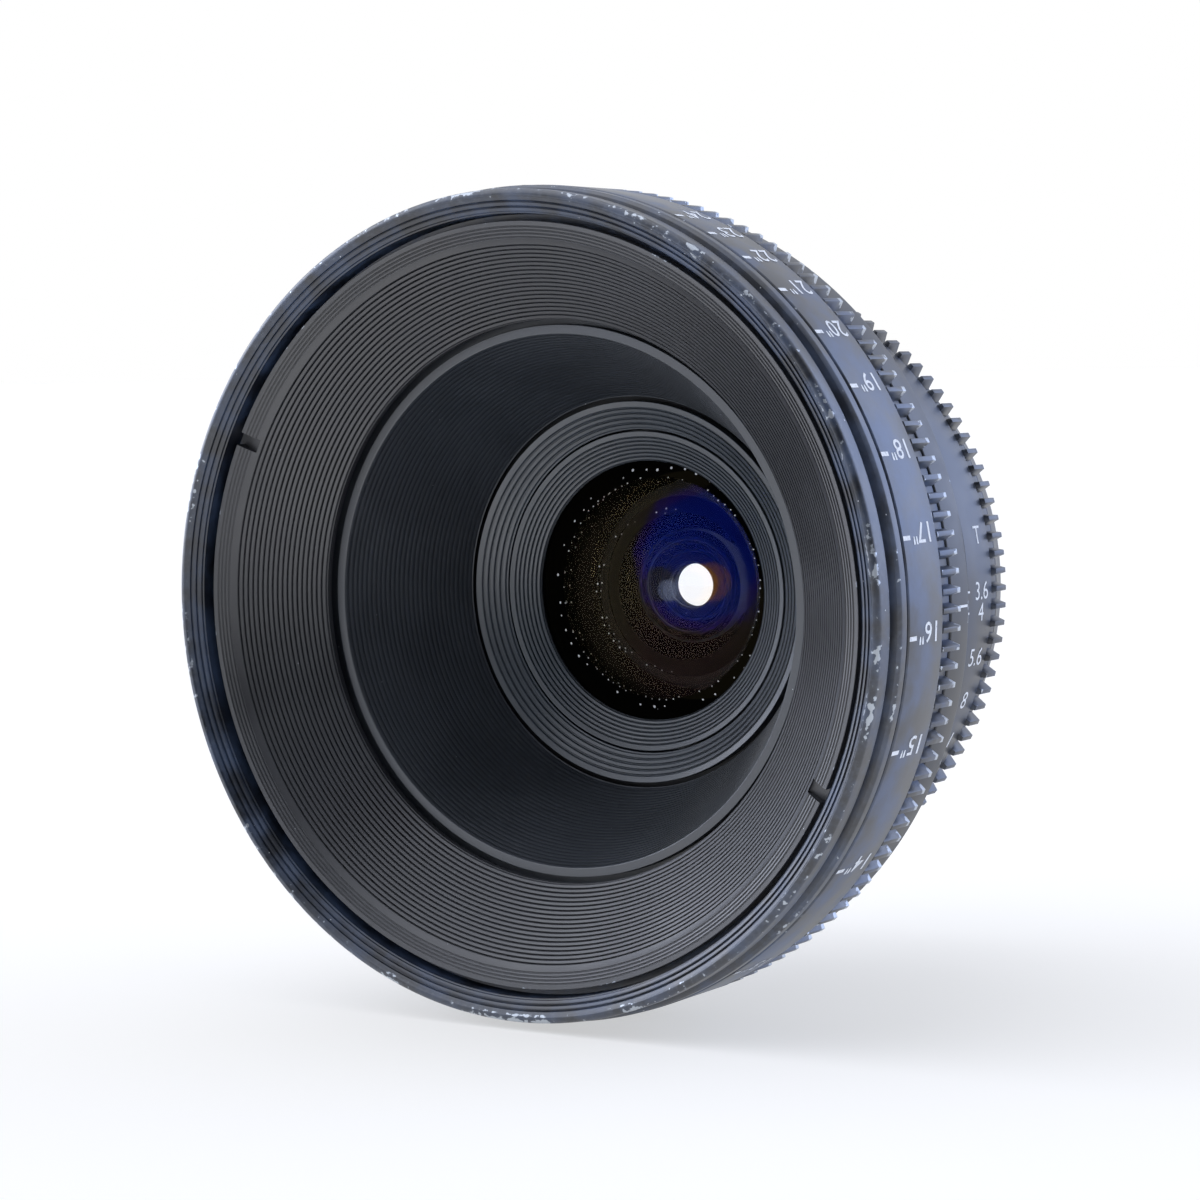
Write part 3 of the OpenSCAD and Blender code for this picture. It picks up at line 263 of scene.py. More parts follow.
    def near_ring(self, radius: float, along: float, reach: float) -> bpy.types.NodeSocket:
        """Gives 1 on a circular edge, falling to 0 at a distance from it.

        Args:
            radius: the edge's radius in millimetres.
            along: its distance in front of the seating face.
            reach: how far the effect goes in millimetres.

        Returns:
            The mask's socket.
        """
        across = self.maths("SUBTRACT", self.radius_mm(), radius)
        off = self.maths("SUBTRACT", self.along_mm(), along)
        squares = [self.maths("MULTIPLY", part, part) for part in (across, off)]
        return self.ramped(self.maths("SQRT", self.maths("ADD", *squares)), 0.0, reach, 1.0, 0.0)

    def specks(self, spacing_mm: float, size_mm: float, share: float) -> bpy.types.NodeSocket:
        """Gives a mask of scattered dust grains.

        Args:
            spacing_mm: width of the cell that may hold a grain.
            size_mm: radius of a grain.
            share: how many of the cells hold one.

        Returns:
            The mask's socket, 1 on a grain.
        """
        cells = self.add("ShaderNodeTexVoronoi", {"Vector": self.place, "Scale": 1 / (spacing_mm * MM)})
        close = self.maths("LESS_THAN", cells.outputs["Distance"], size_mm / spacing_mm)
        chosen = self.add("ShaderNodeSeparateColor", {0: cells.outputs["Color"]}).outputs[0]
        return self.maths("MULTIPLY", close, self.maths("LESS_THAN", chosen, share))

    def disc(self, centre: Point, radius: float, soft: float) -> bpy.types.NodeSocket:
        """Gives 1 inside a circle seen along the axis and 0 outside.

        Args:
            centre: its middle in millimetres, sideways and upwards.
            radius: its radius.
            soft: width of its fading edge.

        Returns:
            The mask's socket.
        """
        return self.ramped(self.length(*self.across_mm(centre)), radius - soft, radius, 1.0, 0.0)

    def matt(self, colour: object) -> bpy.types.NodeSocket:
        """Makes a matt surface of a colour."""
        return self.add("ShaderNodeBsdfDiffuse", {"Color": colour}).outputs[0]

    def blended(self, share: object, first: object, second: object) -> bpy.types.NodeSocket:
        """Mixes two surfaces by the share of the second."""
        return self.add("ShaderNodeMixShader", {0: share, 1: first, 2: second}).outputs[0]

    def skin(self, relief: "Relief", height: object, inputs: dict) -> bpy.types.Material:
        """Finishes a solid skin with fine relief.

        Args:
            relief: how strong and deep the relief is.
            height: the relief's socket, 0 to 1.
            inputs: the skin's own inputs.

        Returns:
            The finished material.
        """
        values = {"Height": height, "Strength": relief.strength, "Distance": relief.deep_mm * MM}
        bump = self.add("ShaderNodeBump", values).outputs[0]
        return self.finish(self.add("ShaderNodeBsdfPrincipled", {**inputs, "Normal": bump}).outputs[0])

    def finish(self, surface: bpy.types.NodeSocket) -> bpy.types.Material | bpy.types.World:
        """Joins the surface to the output and hands over the material or the world."""
        self.tree.links.new(surface, self.output.inputs["Surface"])
        return self.owner


@dataclass(frozen=True)
class Relief:
    """Relief that is too fine for the mesh: its strength, and its depth in millimetres."""

    strength: float
    deep_mm: float


@dataclass(frozen=True)
class WearAndHighlightEdge:
    """A circular edge where the anodising is rubbed through; on the focus gear's rear tooth ends its bright
    chips and scuffs are also a painted highlight.
    """

    radius: float
    along: float
    reach: float
    amount: float


@dataclass(frozen=True)
class BlackAnodised:
    """Black anodised aluminium, turned and bead blasted.

    It gives a dark satin skin with faint clouds of blue-grey. Corners that are handled show scattered bright
    chips and softer scuffs round them, and pale dust lies on it; on the focus gear's rear tooth ends these
    chips and scuffs also stand for a painted highlight. A band is the range of a noise's values that is
    stretched to 0 and 1, and a gain is a factor and what is added to it.
    """

    name: str
    colour: str
    cloud_colour: str
    metal_colour: str = "#b9c0c8"
    scuff_colour: str = "#59616d"
    dust_colour: str = "#d5dadf"
    roughness: float = 0.42
    rough_span: Point = (-0.04, 0.06)
    sheen_level: float = 0.7
    film_ior: float = 1.65
    relief: Relief = Relief(0.10, 0.05)
    turning_mm: float = 0.24
    grain_mm: float = 0.16
    relief_shares: Point = (0.4, 0.6)
    cloud_mm: float = 9.0
    cloud_detail: float = 4.0
    cloud_band: Point = (0.35, 0.68)
    dust_share: float = 0.08
    dust_spacing_mm: float = 1.5
    dust_mm: float = 0.09
    dust_roughness: float = 0.9
    edges: tuple[WearAndHighlightEdge, ...] = ()
    chip_mm: float = 0.9
    chip_detail: float = 5.0
    chip_level: float = 0.84
    chip_drop: float = 0.16
    chip_soft: float = 0.05
    chip_metal: float = 0.7
    least_near: float = 0.05
    group_chips: float = 11.0
    group_band: Point = (0.44, 0.66)
    edge_gain: Point = (0.24, 0.06)
    scuff_reach: float = 2.4
    scuff_band: Point = (0.42, 0.68)
    scuff_gain: Point = (0.6, 0.3)

    def wear_and_highlights(self, s: Shader) -> tuple[object, object]:
        """Finds the bare chips and the scuffs, in groups along the handled edges; on the focus gear's rear
        tooth ends they are also a painted highlight.

        Args:
            s: the material.

        Returns:
            The share of bare metal and the share of scuffing.
        """
        chipped_and_highlit: object = 0.0
        scuffed_and_highlit: object = 0.0
        if not self.edges:
            return chipped_and_highlit, scuffed_and_highlit
        chips = s.noise(self.chip_mm, self.chip_detail)
        groups = s.ramped(s.noise(self.chip_mm * self.group_chips), *self.group_band)
        rubbed = s.ramped(chips, *self.scuff_band)
        rub_gain = s.maths("MULTIPLY_ADD", groups, *self.scuff_gain)
        for edge in self.edges:
            near = s.near_ring(edge.radius, edge.along, edge.reach)
            wide = s.near_ring(edge.radius, edge.along, edge.reach * self.scuff_reach)
            pull = s.maths("MULTIPLY", near, s.maths("MULTIPLY_ADD", groups, *self.edge_gain))
            low = self.chip_level - self.chip_drop * edge.amount
            chip = s.ramped(s.maths("ADD", chips, pull), low, low + self.chip_soft)
            here = s.maths("MULTIPLY", chip, s.maths("GREATER_THAN", near, self.least_near))
            chipped_and_highlit = s.maths("MAXIMUM", chipped_and_highlit, here)
            rub = s.maths("MULTIPLY", rubbed, s.maths("MULTIPLY", wide, edge.amount))
            scuffed_and_highlit = s.maths("MAXIMUM", scuffed_and_highlit, s.maths("MULTIPLY", rub, rub_gain))
        return chipped_and_highlit, scuffed_and_highlit

    def build(self) -> bpy.types.Material:
        """Builds the material.

        Returns:
            The finished material.
        """
        s = Shader(self.name)
        clouds = s.ramped(s.noise(self.cloud_mm, self.cloud_detail), *self.cloud_band)
        colour = s.mixed(clouds, linear(self.colour), linear(self.cloud_colour))
        chipped_and_highlit, scuffed_and_highlit = self.wear_and_highlights(s)
        dust = s.specks(self.dust_spacing_mm, self.dust_mm, self.dust_share)
        layers = ((scuffed_and_highlit, self.scuff_colour), (chipped_and_highlit, self.metal_colour), (dust, self.dust_colour))
        for share, shown in layers:
            colour = s.mixed(share, colour, linear(shown))
        marks = (s.turned(self.turning_mm, 1.0), s.noise(self.grain_mm, 1.0))
        height = s.maths("ADD", *(s.maths("MULTIPLY", mark, share)
                                  for mark, share in zip(marks, self.relief_shares)))
        rough = s.ramped(clouds, 0.0, 1.0, *(self.roughness + off for off in self.rough_span))
        rough = s.maths("MAXIMUM", rough, s.maths("MULTIPLY", dust, self.dust_roughness))
        metal = s.maths("MULTIPLY", chipped_and_highlit, self.chip_metal) if self.edges else 0.0
        return s.skin(self.relief, height, {
            "Base Color": colour, "Metallic": metal, "Roughness": rough,
            "Specular IOR Level": self.sheen_level, "IOR": self.film_ior})


@dataclass(frozen=True)
class GroundSteel:
    """Stainless steel, ground and lightly lapped: bright, with fine marks round the axis."""

    name: str
    colour: str = "#b4b7bb"
    dark_colour: str = "#8f9296"
    roughness: float = 0.28
    mark_mm: float = 0.3
    mark_detail: float = 3.0
    mark_rough: float = 0.2
    stain_mm: float = 6.0
    stain_detail: float = 4.0
    stain_band: Point = (0.45, 0.75)
    relief: Relief = Relief(0.15, 0.02)

    def build(self) -> bpy.types.Material:
        """Builds the material.

        Returns:
            The finished material.
        """
        s = Shader(self.name)
        marks = s.turned(self.mark_mm, self.mark_detail)
        stains = s.ramped(s.noise(self.stain_mm, self.stain_detail), *self.stain_band)
        colour = s.mixed(stains, linear(self.colour), linear(self.dark_colour))
        least = self.roughness - self.mark_rough / 2
        rough = s.maths("ADD", s.maths("MULTIPLY", marks, self.mark_rough), least)
        return s.skin(self.relief, marks, {"Base Color": colour, "Metallic": 1.0, "Roughness": rough})


@dataclass(frozen=True)
class BlackenedSteel:
    """Chemically blackened steel, as on blades and screws: near black with a brown cast and a soft gloss."""

    name: str
    colour: str = "#19191b"
    cast_colour: str = "#2a2622"
    metallic: float = 0.6
    roughness: float = 0.38
    rough_span: Point = (-0.06, 0.08)
    cloud_mm: float = 1.2
    cloud_detail: float = 3.0
    cloud_band: Point = (0.4, 0.7)
    relief: Relief = Relief(0.05, 0.02)

    def build(self) -> bpy.types.Material:
        """Builds the material.

        Returns:
            The finished material.
        """
        s = Shader(self.name)
        clouds = s.noise(self.cloud_mm, self.cloud_detail)
        colour = s.mixed(s.ramped(clouds, *self.cloud_band), linear(self.colour), linear(self.cast_colour))
        rough = s.ramped(clouds, 0.0, 1.0, *(self.roughness + off for off in self.rough_span))
        return s.skin(self.relief, clouds,
                      {"Base Color": colour, "Metallic": self.metallic, "Roughness": rough})


@dataclass(frozen=True)
class PaintFill:
    """Enamel wiped into engraved marks: off-white, matt, a little dirty."""

    name: str
    colour: str = "#eef1f4"
    dirt_colour: str = "#a9afb6"
    dirt_mm: float = 0.5
    dirt_detail: float = 3.0
    dirt_band: Point = (0.52, 0.8)
    roughness: float = 0.6
    ior: float = 1.5
    relief: Relief = Relief(0.1, 0.02)

    def build(self) -> bpy.types.Material:
        """Builds the material.

        Returns:
            The finished material.
        """
        s = Shader(self.name)
        dirt = s.ramped(s.noise(self.dirt_mm, self.dirt_detail), *self.dirt_band)
        colour = s.mixed(dirt, linear(self.colour), linear(self.dirt_colour))
        return s.skin(self.relief, dirt, {"Base Color": colour, "Roughness": self.roughness, "IOR": self.ior})


class Bending(Enum):
    """Whether a glass element bends the light or only tints and reflects it."""

    REAL = "real"
    THIN = "thin"


@dataclass(frozen=True)
class PaintedWindowReflection:
    """Painted reflection of a studio window in the coated front glass: its straight sides and its colours.

    Each side is given by the direction that it faces, in degrees round the image's middle, and by its distance.
    """

    centre: Point = (8.0, 4.5)
    sides: tuple[Point, ...] = ((154.4, 8.8), (110.9, 10.2), (-27.8, 10.8), (-69.8, 10.3), (-100.4, 9.7),
                                (-134.7, 8.9), (193.5, 8.3))
    border: float = 1.3
    soft: float = 0.5
    colour: str = "#06114e"
    border_colour: str = "#180c3f"

    def depth(self, s: Shader) -> bpy.types.NodeSocket:
        """Distance inside the image's sides in millimetres.

        Args:
            s: the material.

        Returns:
            The distance's socket, below zero outside.
        """
        x, z = s.across_mm()
        found: bpy.types.NodeSocket | None = None
        for side, distance in self.sides:
            along, up = math.cos(math.radians(side)), math.sin(math.radians(side))
            reach = distance + self.centre[0] * along + self.centre[1] * up
            dot = s.maths("ADD", s.maths("MULTIPLY", x, along), s.maths("MULTIPLY", z, up))
            inside = s.maths("SUBTRACT", reach, dot)
            found = inside if found is None else s.maths("MINIMUM", found, inside)
        return found

    def paint(self, s: Shader, under: object) -> bpy.types.NodeSocket:
        """Colours the painted reflection of the window.

        Args:
            s: the material.
            under: the colour that shows beside the image.

        Returns:
            The colour's socket.
        """
        depth = self.depth(s)
        inner = s.mixed(s.ramped(depth, self.border - self.soft, self.border + self.soft),
                        linear(self.border_colour), linear(self.colour))
        return s.mixed(s.ramped(depth, -self.soft, self.soft), under, inner)


@dataclass(frozen=True)
class Ghost:
    """A painted reflection, as a faint disc beside the pupil or a broad veil of coat colour; the front glass's
    clear disc takes the same form.
    """

    centre: Point
    radius: float
    colour: str
    soft: float = 0.25

    def paint(self, s: Shader, under: object) -> bpy.types.NodeSocket:
        """Lays the disc over a colour."""
        return s.mixed(s.disc(self.centre, self.radius, self.soft), under, linear(self.colour))


@dataclass(frozen=True)
class DotRing:
    """Pale dots strung along a circle on the glass."""

    centre: Point
    radius: float
    grain: float
    places: int
    share: float = 0.75
    left_only: bool = False
    uneven: float = 0.3
    least_size: float = 0.4
    half_step: float = 0.5


@dataclass(frozen=True)
class CoatedGlass:
    """Optical glass with a vapour-deposited coating: clear, with a weak coloured reflection; the front element
    also carries painted reflections.
    """

    name: str
    ior: float
    bending: Bending
    coat_colour: str
    coat_strength: float
    polish: float = 0.03
    window: PaintedWindowReflection | None = None
    clear: Ghost | None = None
    reflection_veils: tuple[Ghost, ...] = ()
    ghosts: tuple[Ghost, ...] = ()
    dots: tuple[DotRing, ...] = ()
    dust_colour: str = "#f2f4f6"
    dust_share: float = 0.0
    dust_spacing_mm: float = 1.1
    dust_mm: float = 0.045

    def strung(self, s: Shader, ring: DotRing) -> bpy.types.NodeSocket:
        """Gives a mask of pale dots strung along a circle, at uneven steps.

        Args:
            s: the material.
            ring: where the circle lies and how its grains are spread.

        Returns:
            The mask's socket.
        """
        x, z = s.across_mm(ring.centre)
        turn = s.maths("MULTIPLY", s.maths("ARCTAN2", z, x), ring.places / (2 * math.pi))
        step_mm = 2 * math.pi * ring.radius / ring.places
        across = s.maths("DIVIDE", s.maths("SUBTRACT", s.length(x, z), ring.radius), step_mm)
        vector = s.add("ShaderNodeCombineXYZ", {0: turn, 1: across}).outputs[0]
        cells = s.add("ShaderNodeTexVoronoi", {"Vector": vector, "Scale": 1.0, "Randomness": ring.uneven},
                      voronoi_dimensions="2D")
        chosen = s.add("ShaderNodeSeparateColor", {0: cells.outputs["Color"]}).outputs[0]
        near = s.maths("LESS_THAN", s.maths("ABSOLUTE", across), ring.half_step)
        size = s.maths("MULTIPLY", s.maths("ADD", chosen, ring.least_size), ring.grain / step_mm)
        close = s.maths("LESS_THAN", cells.outputs["Distance"], size)
        mask = s.maths("MULTIPLY", s.maths("MULTIPLY", close, near),
                       s.maths("GREATER_THAN", chosen, 1 - ring.share))
        return s.maths("MULTIPLY", mask, s.maths("LESS_THAN", x, 0.0)) if ring.left_only else mask

    def painted_reflections(self, s: Shader) -> bpy.types.NodeSocket:
        """Paints over each other the reflections that the coatings throw back: each broad veil, the window's
        image and the ghosts.

        Args:
            s: the material.

        Returns:
            The colour's socket.
        """
        colour: object = (0, 0, 0, 1)
        for layer in (*self.reflection_veils, *filter(None, [self.window]), *self.ghosts):
            colour = layer.paint(s, colour)
        return colour

    def build(self) -> bpy.types.Material:
        """Builds the material.

        Returns:
            The finished material.
        """
        s = Shader(self.name)
        if self.bending is Bending.REAL:
            body = s.add("ShaderNodeBsdfRefraction", {"Color": WHITE, "IOR": self.ior, "Roughness": 0.0})
        else:
            body = s.add("ShaderNodeBsdfTransparent", {"Color": WHITE})
        coat = {"Color": linear(self.coat_colour), "Roughness": self.polish}
        gloss = s.add("ShaderNodeBsdfGlossy", coat).outputs[0]
        fresnel = s.add("ShaderNodeFresnel", {"IOR": self.ior}).outputs[0]
        share = s.maths("MULTIPLY", fresnel, self.coat_strength, clamp=True)
        glass = s.blended(share, body.outputs[0], gloss)
        # The painted reflections go on as a matt layer that is added to the glass.
        if self.window or self.ghosts:
            glass = s.add("ShaderNodeAddShader", {0: glass, 1: s.matt(self.painted_reflections(s))}).outputs[0]
        # Outside the clear disc the glass shows as a near-black matt band under the coat's gloss.
        if self.clear:
            wall = s.blended(share, s.matt(linear(self.clear.colour)), gloss)
            glass = s.blended(s.disc(self.clear.centre, self.clear.radius, self.clear.soft), wall, glass)
        if self.dots or self.dust_share:
            dust: object = 0.0
            if self.dust_share:
                dust = s.specks(self.dust_spacing_mm, self.dust_mm, self.dust_share)
            for ring in self.dots:
                dust = s.maths("MAXIMUM", dust, self.strung(s, ring))
            glass = s.blended(dust, glass, s.matt(linear(self.dust_colour)))
        return s.finish(glass)


def eased(outline: Sequence[Point], radius: float, segments: int = 2) -> list[Point]:
    """Rounds every corner of a closed outline, as a turning tool leaves it.

    Args:
        outline: corners as radius and place along the axis.
        radius: rounding of each corner, less where an edge is short.
        segments: chords of each rounding.

    Returns:
        The rounded outline.
    """
    result: list[Point] = []
    count = len(outline)
    for i, corner in enumerate(outline):
        here = Vector(corner)
        back, ahead = Vector(outline[i - 1]) - here, Vector(outline[(i + 1) % count]) - here
        if back.length < NO_LENGTH or ahead.length < NO_LENGTH:
            continue
        reach = min(radius, back.length * ROUND_SHARE, ahead.length * ROUND_SHARE)
        if back.normalized().dot(ahead.normalized()) < STRAIGHT_COSINE or reach < LEAST_ROUND:
            result.append(corner)
            continue
        start, end = here + back.normalized() * reach, here + ahead.normalized() * reach
        for k in range(segments + 1):
            t = k / segments
            spot = start * (1 - t) ** 2 + here * 2 * t * (1 - t) + end * t**2
            result.append((spot.x, spot.y))
    return result


def grooved(start: Point, end: Point, count: int, deep: float = GROOVE, cut: float = 0.36) -> list[Point]:
    """Outlines a light-trap face: lands with square grooves cut back along the axis.

    Args:
        start: first corner of the face.
        end: last corner of the face.
        count: number of grooves.
        deep: depth of a groove.
        cut: share of the pitch that is groove.

    Returns:
        The corners in order.
    """
    first, last = Vector(start), Vector(end)
    corners: list[Point] = []
    for i in range(count):
        for share, down in ((1 - cut, 0.0), (1 - cut, deep), (1.0, deep), (1.0, 0.0)):
            spot = first.lerp(last, (i + share) / count)
            corners.append((spot.x, spot.y - down))
    return corners


def arc(centre: Point, radius: float, start: float, end: float, count: int) -> list[Point]:
    """Points of an arc, with its angles in degrees."""
    angles = [math.radians(start + (end - start) * i / count) for i in range(count + 1)]
    return [(centre[0] + radius * math.cos(a), centre[1] + radius * math.sin(a)) for a in angles]


def meshed(bm: bmesh.types.BMesh, name: str) -> bpy.types.Mesh:
    """Turns a bmesh into a mesh and frees it.

    Args:
        bm: what was modelled.
        name: the mesh's name.

    Returns:
        The new mesh.
    """
    mesh = bpy.data.meshes.new(name)
    bm.to_mesh(mesh)
    bm.free()
    return mesh


def placed(name: str, data: bpy.types.ID) -> bpy.types.Object:
    """Makes an object and links it to the scene.

    Args:
        name: the object's name.
        data: its mesh, curve, lamp or camera.

    Returns:
        The new object.
    """
    obj = bpy.data.objects.new(name, data)
    bpy.context.scene.collection.objects.link(obj)
    return obj


def far_edge(node: str) -> float:
    """Outer radius of a round CAD node in millimetres."""
    low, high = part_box(node)
    return max(high.x, high.z, -low.x, -low.z) / MM


def front_end(node: str) -> float:
    """Place of a CAD node's front end, in millimetres in front of the seating face."""
    return -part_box(node)[0].y / MM


def rear_end(node: str) -> float:
    """Place of a CAD node's rear end, in millimetres in front of the seating face."""
    return -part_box(node)[1].y / MM


@dataclass
class Hole:
    """A round hole or a block-shaped slot that a cutter makes, at an angle round the axis.

    It goes in from the side, as a block where it has a length, or runs along the axis where radial is false.
    """

    azimuth: float
    along: float
    inner: float
    outer: float
    width: float
    length: float = 0.0
    radial: bool = True

    def add_to(self, bm: bmesh.types.BMesh) -> None:
        """Adds the cutter's shape to a mesh.

        Args:
            bm: the mesh that takes it.
        """
        middle, reach = (self.inner + self.outer) / 2 * MM, (self.outer - self.inner) * MM
        turn = Matrix.Rotation(-math.radians(self.azimuth), 4, AXIS)
        place = turn @ Matrix.Translation((middle, -self.along * MM, 0.0))
        if self.radial and self.length:
            scale = Matrix.Diagonal((reach, self.length * MM, self.width * MM, 1.0))
            bmesh.ops.create_cube(bm, size=1.0, matrix=place @ scale)
            return
        stand = Matrix.Rotation(math.radians(90), 4, "Y" if self.radial else "X")
        radius, depth = self.width * MM / 2, reach if self.radial else self.length * MM
        bmesh.ops.create_cone(bm, cap_ends=True, segments=HOLE_STEPS, radius1=radius, radius2=radius,
                              depth=depth, matrix=place @ stand)


@dataclass
class Gear:
    """Sizes of a toothed ring in millimetres, and the shares of the pitch that a tooth takes."""

    count: int
    tip: float
    front: float
    rear: float
    module: float = 0.8
    dedendum: float = 1.25
    root_share: float = 0.72
    tip_share: float = 0.27
    end_bevel: float = 0.4
    edge: float = 0.07
    sunk: float = 0.4

    @property
    def root(self) -> float:
        """Radius at the foot of the teeth."""
        return self.module * (self.count / 2 - self.dedendum)


class Workshop:
    """Makes pieces by turning, milling and drilling, and keeps them in order."""

    def __init__(self) -> None:
        """Starts with no pieces."""
        self.made: list[str] = []

    def shade(self, bm: bmesh.types.BMesh) -> None:
        """Smooths the faces and keeps real edges crisp.

        Args:
            bm: the mesh.
        """
        for face in bm.faces:
            face.smooth = True
        for edge in bm.edges:
            if len(edge.link_faces) == 2 and edge.calc_face_angle(0.0) > SHARP_ANGLE:
                edge.smooth = False

    def keep(self, bm: bmesh.types.BMesh, name: str, material: bpy.types.Material, body: str,
             node: str = "") -> bpy.types.Object:
        """Turns a finished bmesh into a piece of the object.

        Args:
            bm: the mesh, in metres in the row frame.
            name: the piece's name.
            material: its finish.
            body: the CAD body that it rides on.
            node: the CAD node that it stands in for and hides, if it stands in for one.

        Returns:
            The new object.
        """
        self.shade(bm)
        mesh = meshed(bm, name)
        obj = placed(name, mesh)
        mesh.materials.append(material)
        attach(obj, body)
        if node:
            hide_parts(node)
        self.made.append(name)
        log.info("%s: %d faces on %s", name, len(mesh.polygons), body)
        return obj

    def spun(self, outline: Sequence[Point], steps: int = ROUND_STEPS, start: float = 0.0,
             span: float = 360.0, closed: bool = True) -> bmesh.types.BMesh:
        """Turns an outline round the optical axis.

        Args:
            outline: corners as radius and place in front of the seating face, in millimetres.
            steps: facets round the axis.
            start: angle where a part turn begins, in degrees.
            span: angle that it covers.
            closed: joins the last corner to the first.

        Returns:
            The closed mesh.
        """
        bm = bmesh.new()
        verts = [bm.verts.new((r * MM, -s * MM, 0.0)) for r, s in outline]
        ends = verts[1:] + verts[:1] if closed else verts[1:]
        edges = [bm.edges.new(pair) for pair in zip(verts, ends)]
        whole = abs(span - 360.0) < NO_LENGTH
        turn = Matrix.Rotation(-math.radians(start), 3, AXIS)
        bmesh.ops.rotate(bm, verts=verts, cent=(0, 0, 0), matrix=turn)
        geom: list = [*verts, *edges]
        if not whole:
            geom.append(bm.faces.new(verts))
        bmesh.ops.spin(bm, geom=geom, cent=(0, 0, 0), axis=-AXIS, dvec=(0, 0, 0), angle=math.radians(span),
                       steps=steps, use_merge=whole, use_normal_flip=False, use_duplicate=False)
        bmesh.ops.remove_doubles(bm, verts=bm.verts, dist=WELD_M)
        bmesh.ops.recalc_face_normals(bm, faces=bm.faces)
        return bm

    def teeth(self, bm: bmesh.types.BMesh, gear: Gear) -> None:
        """Adds the teeth of a gear to a mesh: one milled tooth, bevelled, then copied round the ring.

        Args:
            bm: the mesh that takes the teeth.
            gear: the gear's sizes.
        """
        tooth = bmesh.new()
        bmesh.ops.create_cube(tooth, size=1.0)
        for v in tooth.verts:
            outer, ahead = v.co.x > 0, v.co.y < 0
            radius = gear.tip if outer else gear.root - gear.sunk
            share = gear.tip_share if outer else gear.root_share
            half = math.pi * radius / gear.count * share
            s = gear.front if ahead else gear.rear
            if outer:
                s += -gear.end_bevel if ahead else gear.end_bevel
            side = half if v.co.z > 0 else -half
            v.co = Vector((math.sqrt(radius**2 - half**2) * MM, -s * MM, side * MM))
        outside = [e for e in tooth.edges if max(v.co.x for v in e.verts) > (gear.root + gear.sunk) * MM]
        bmesh.ops.bevel(tooth, geom=outside, offset=gear.edge * MM, offset_type="OFFSET", segments=2,
                        profile=0.5, affect="EDGES", material=-1)
        bmesh.ops.recalc_face_normals(tooth, faces=tooth.faces)
        geom = [*tooth.verts, *tooth.edges, *tooth.faces]
        bmesh.ops.spin(tooth, geom=geom, cent=(0, 0, 0), axis=-AXIS, dvec=(0, 0, 0),
                       angle=2 * math.pi * (gear.count - 1) / gear.count, steps=gear.count - 1,
                       use_merge=False, use_normal_flip=False, use_duplicate=True)
        holder = meshed(tooth, "tooth")
        bm.from_mesh(holder)
        bpy.data.meshes.remove(holder)

    def geared(self, gear: Gear, bore: float, band: float, front: float) -> bmesh.types.BMesh:
        """Turns a ring with a smooth band in front of a gear and cuts the teeth.

        Args:
            gear: the gear's sizes.
            bore: radius of the bore.
            band: radius of the smooth band.
            front: place of the ring's front end.

        Returns:
            The mesh.
        """
        half = BROKEN / 2
        outline = [
            (bore, gear.rear), (gear.root, gear.rear), (gear.root, gear.front - half), (band, gear.front),
            (band, front - half), (band - half, front), (bore, front)]
        bm = self.spun(eased(outline, GEAR_ROUND))
        self.teeth(bm, gear)
        return bm

    def drilled(self, obj: bpy.types.Object, holes: Iterable[Hole]) -> None:
        """Cuts holes and slots into a finished piece.

        Args:
            obj: the piece.
            holes: the cutters' sizes and places.
        """
        cutter = bmesh.new()
        for hole in holes:
            hole.add_to(cutter)
        tool = placed("cutter", meshed(cutter, "cutter"))
        cut = obj.modifiers.new("holes", "BOOLEAN")
        cut.object, cut.operation, cut.solver = tool, "DIFFERENCE", "EXACT"
        bpy.context.view_layer.update()
        shaped = obj.evaluated_get(bpy.context.evaluated_depsgraph_get())
        result = bpy.data.meshes.new_from_object(shaped)
        obj.modifiers.clear()
        name, spent = obj.data.name, (obj.data, tool.data)
        obj.data = result
        bpy.data.objects.remove(tool)
        for mesh in spent:
            bpy.data.meshes.remove(mesh)
        result.name = name
        crisp = bmesh.new()
        crisp.from_mesh(result)
        self.shade(crisp)
        crisp.to_mesh(result)
        crisp.free()


class Reading(Enum):
    """Which way a scale's figures are read."""

    FROM_REAR = "from the camera side, with the lens upside down"
    FROM_FRONT = "upright, from the front rearwards"


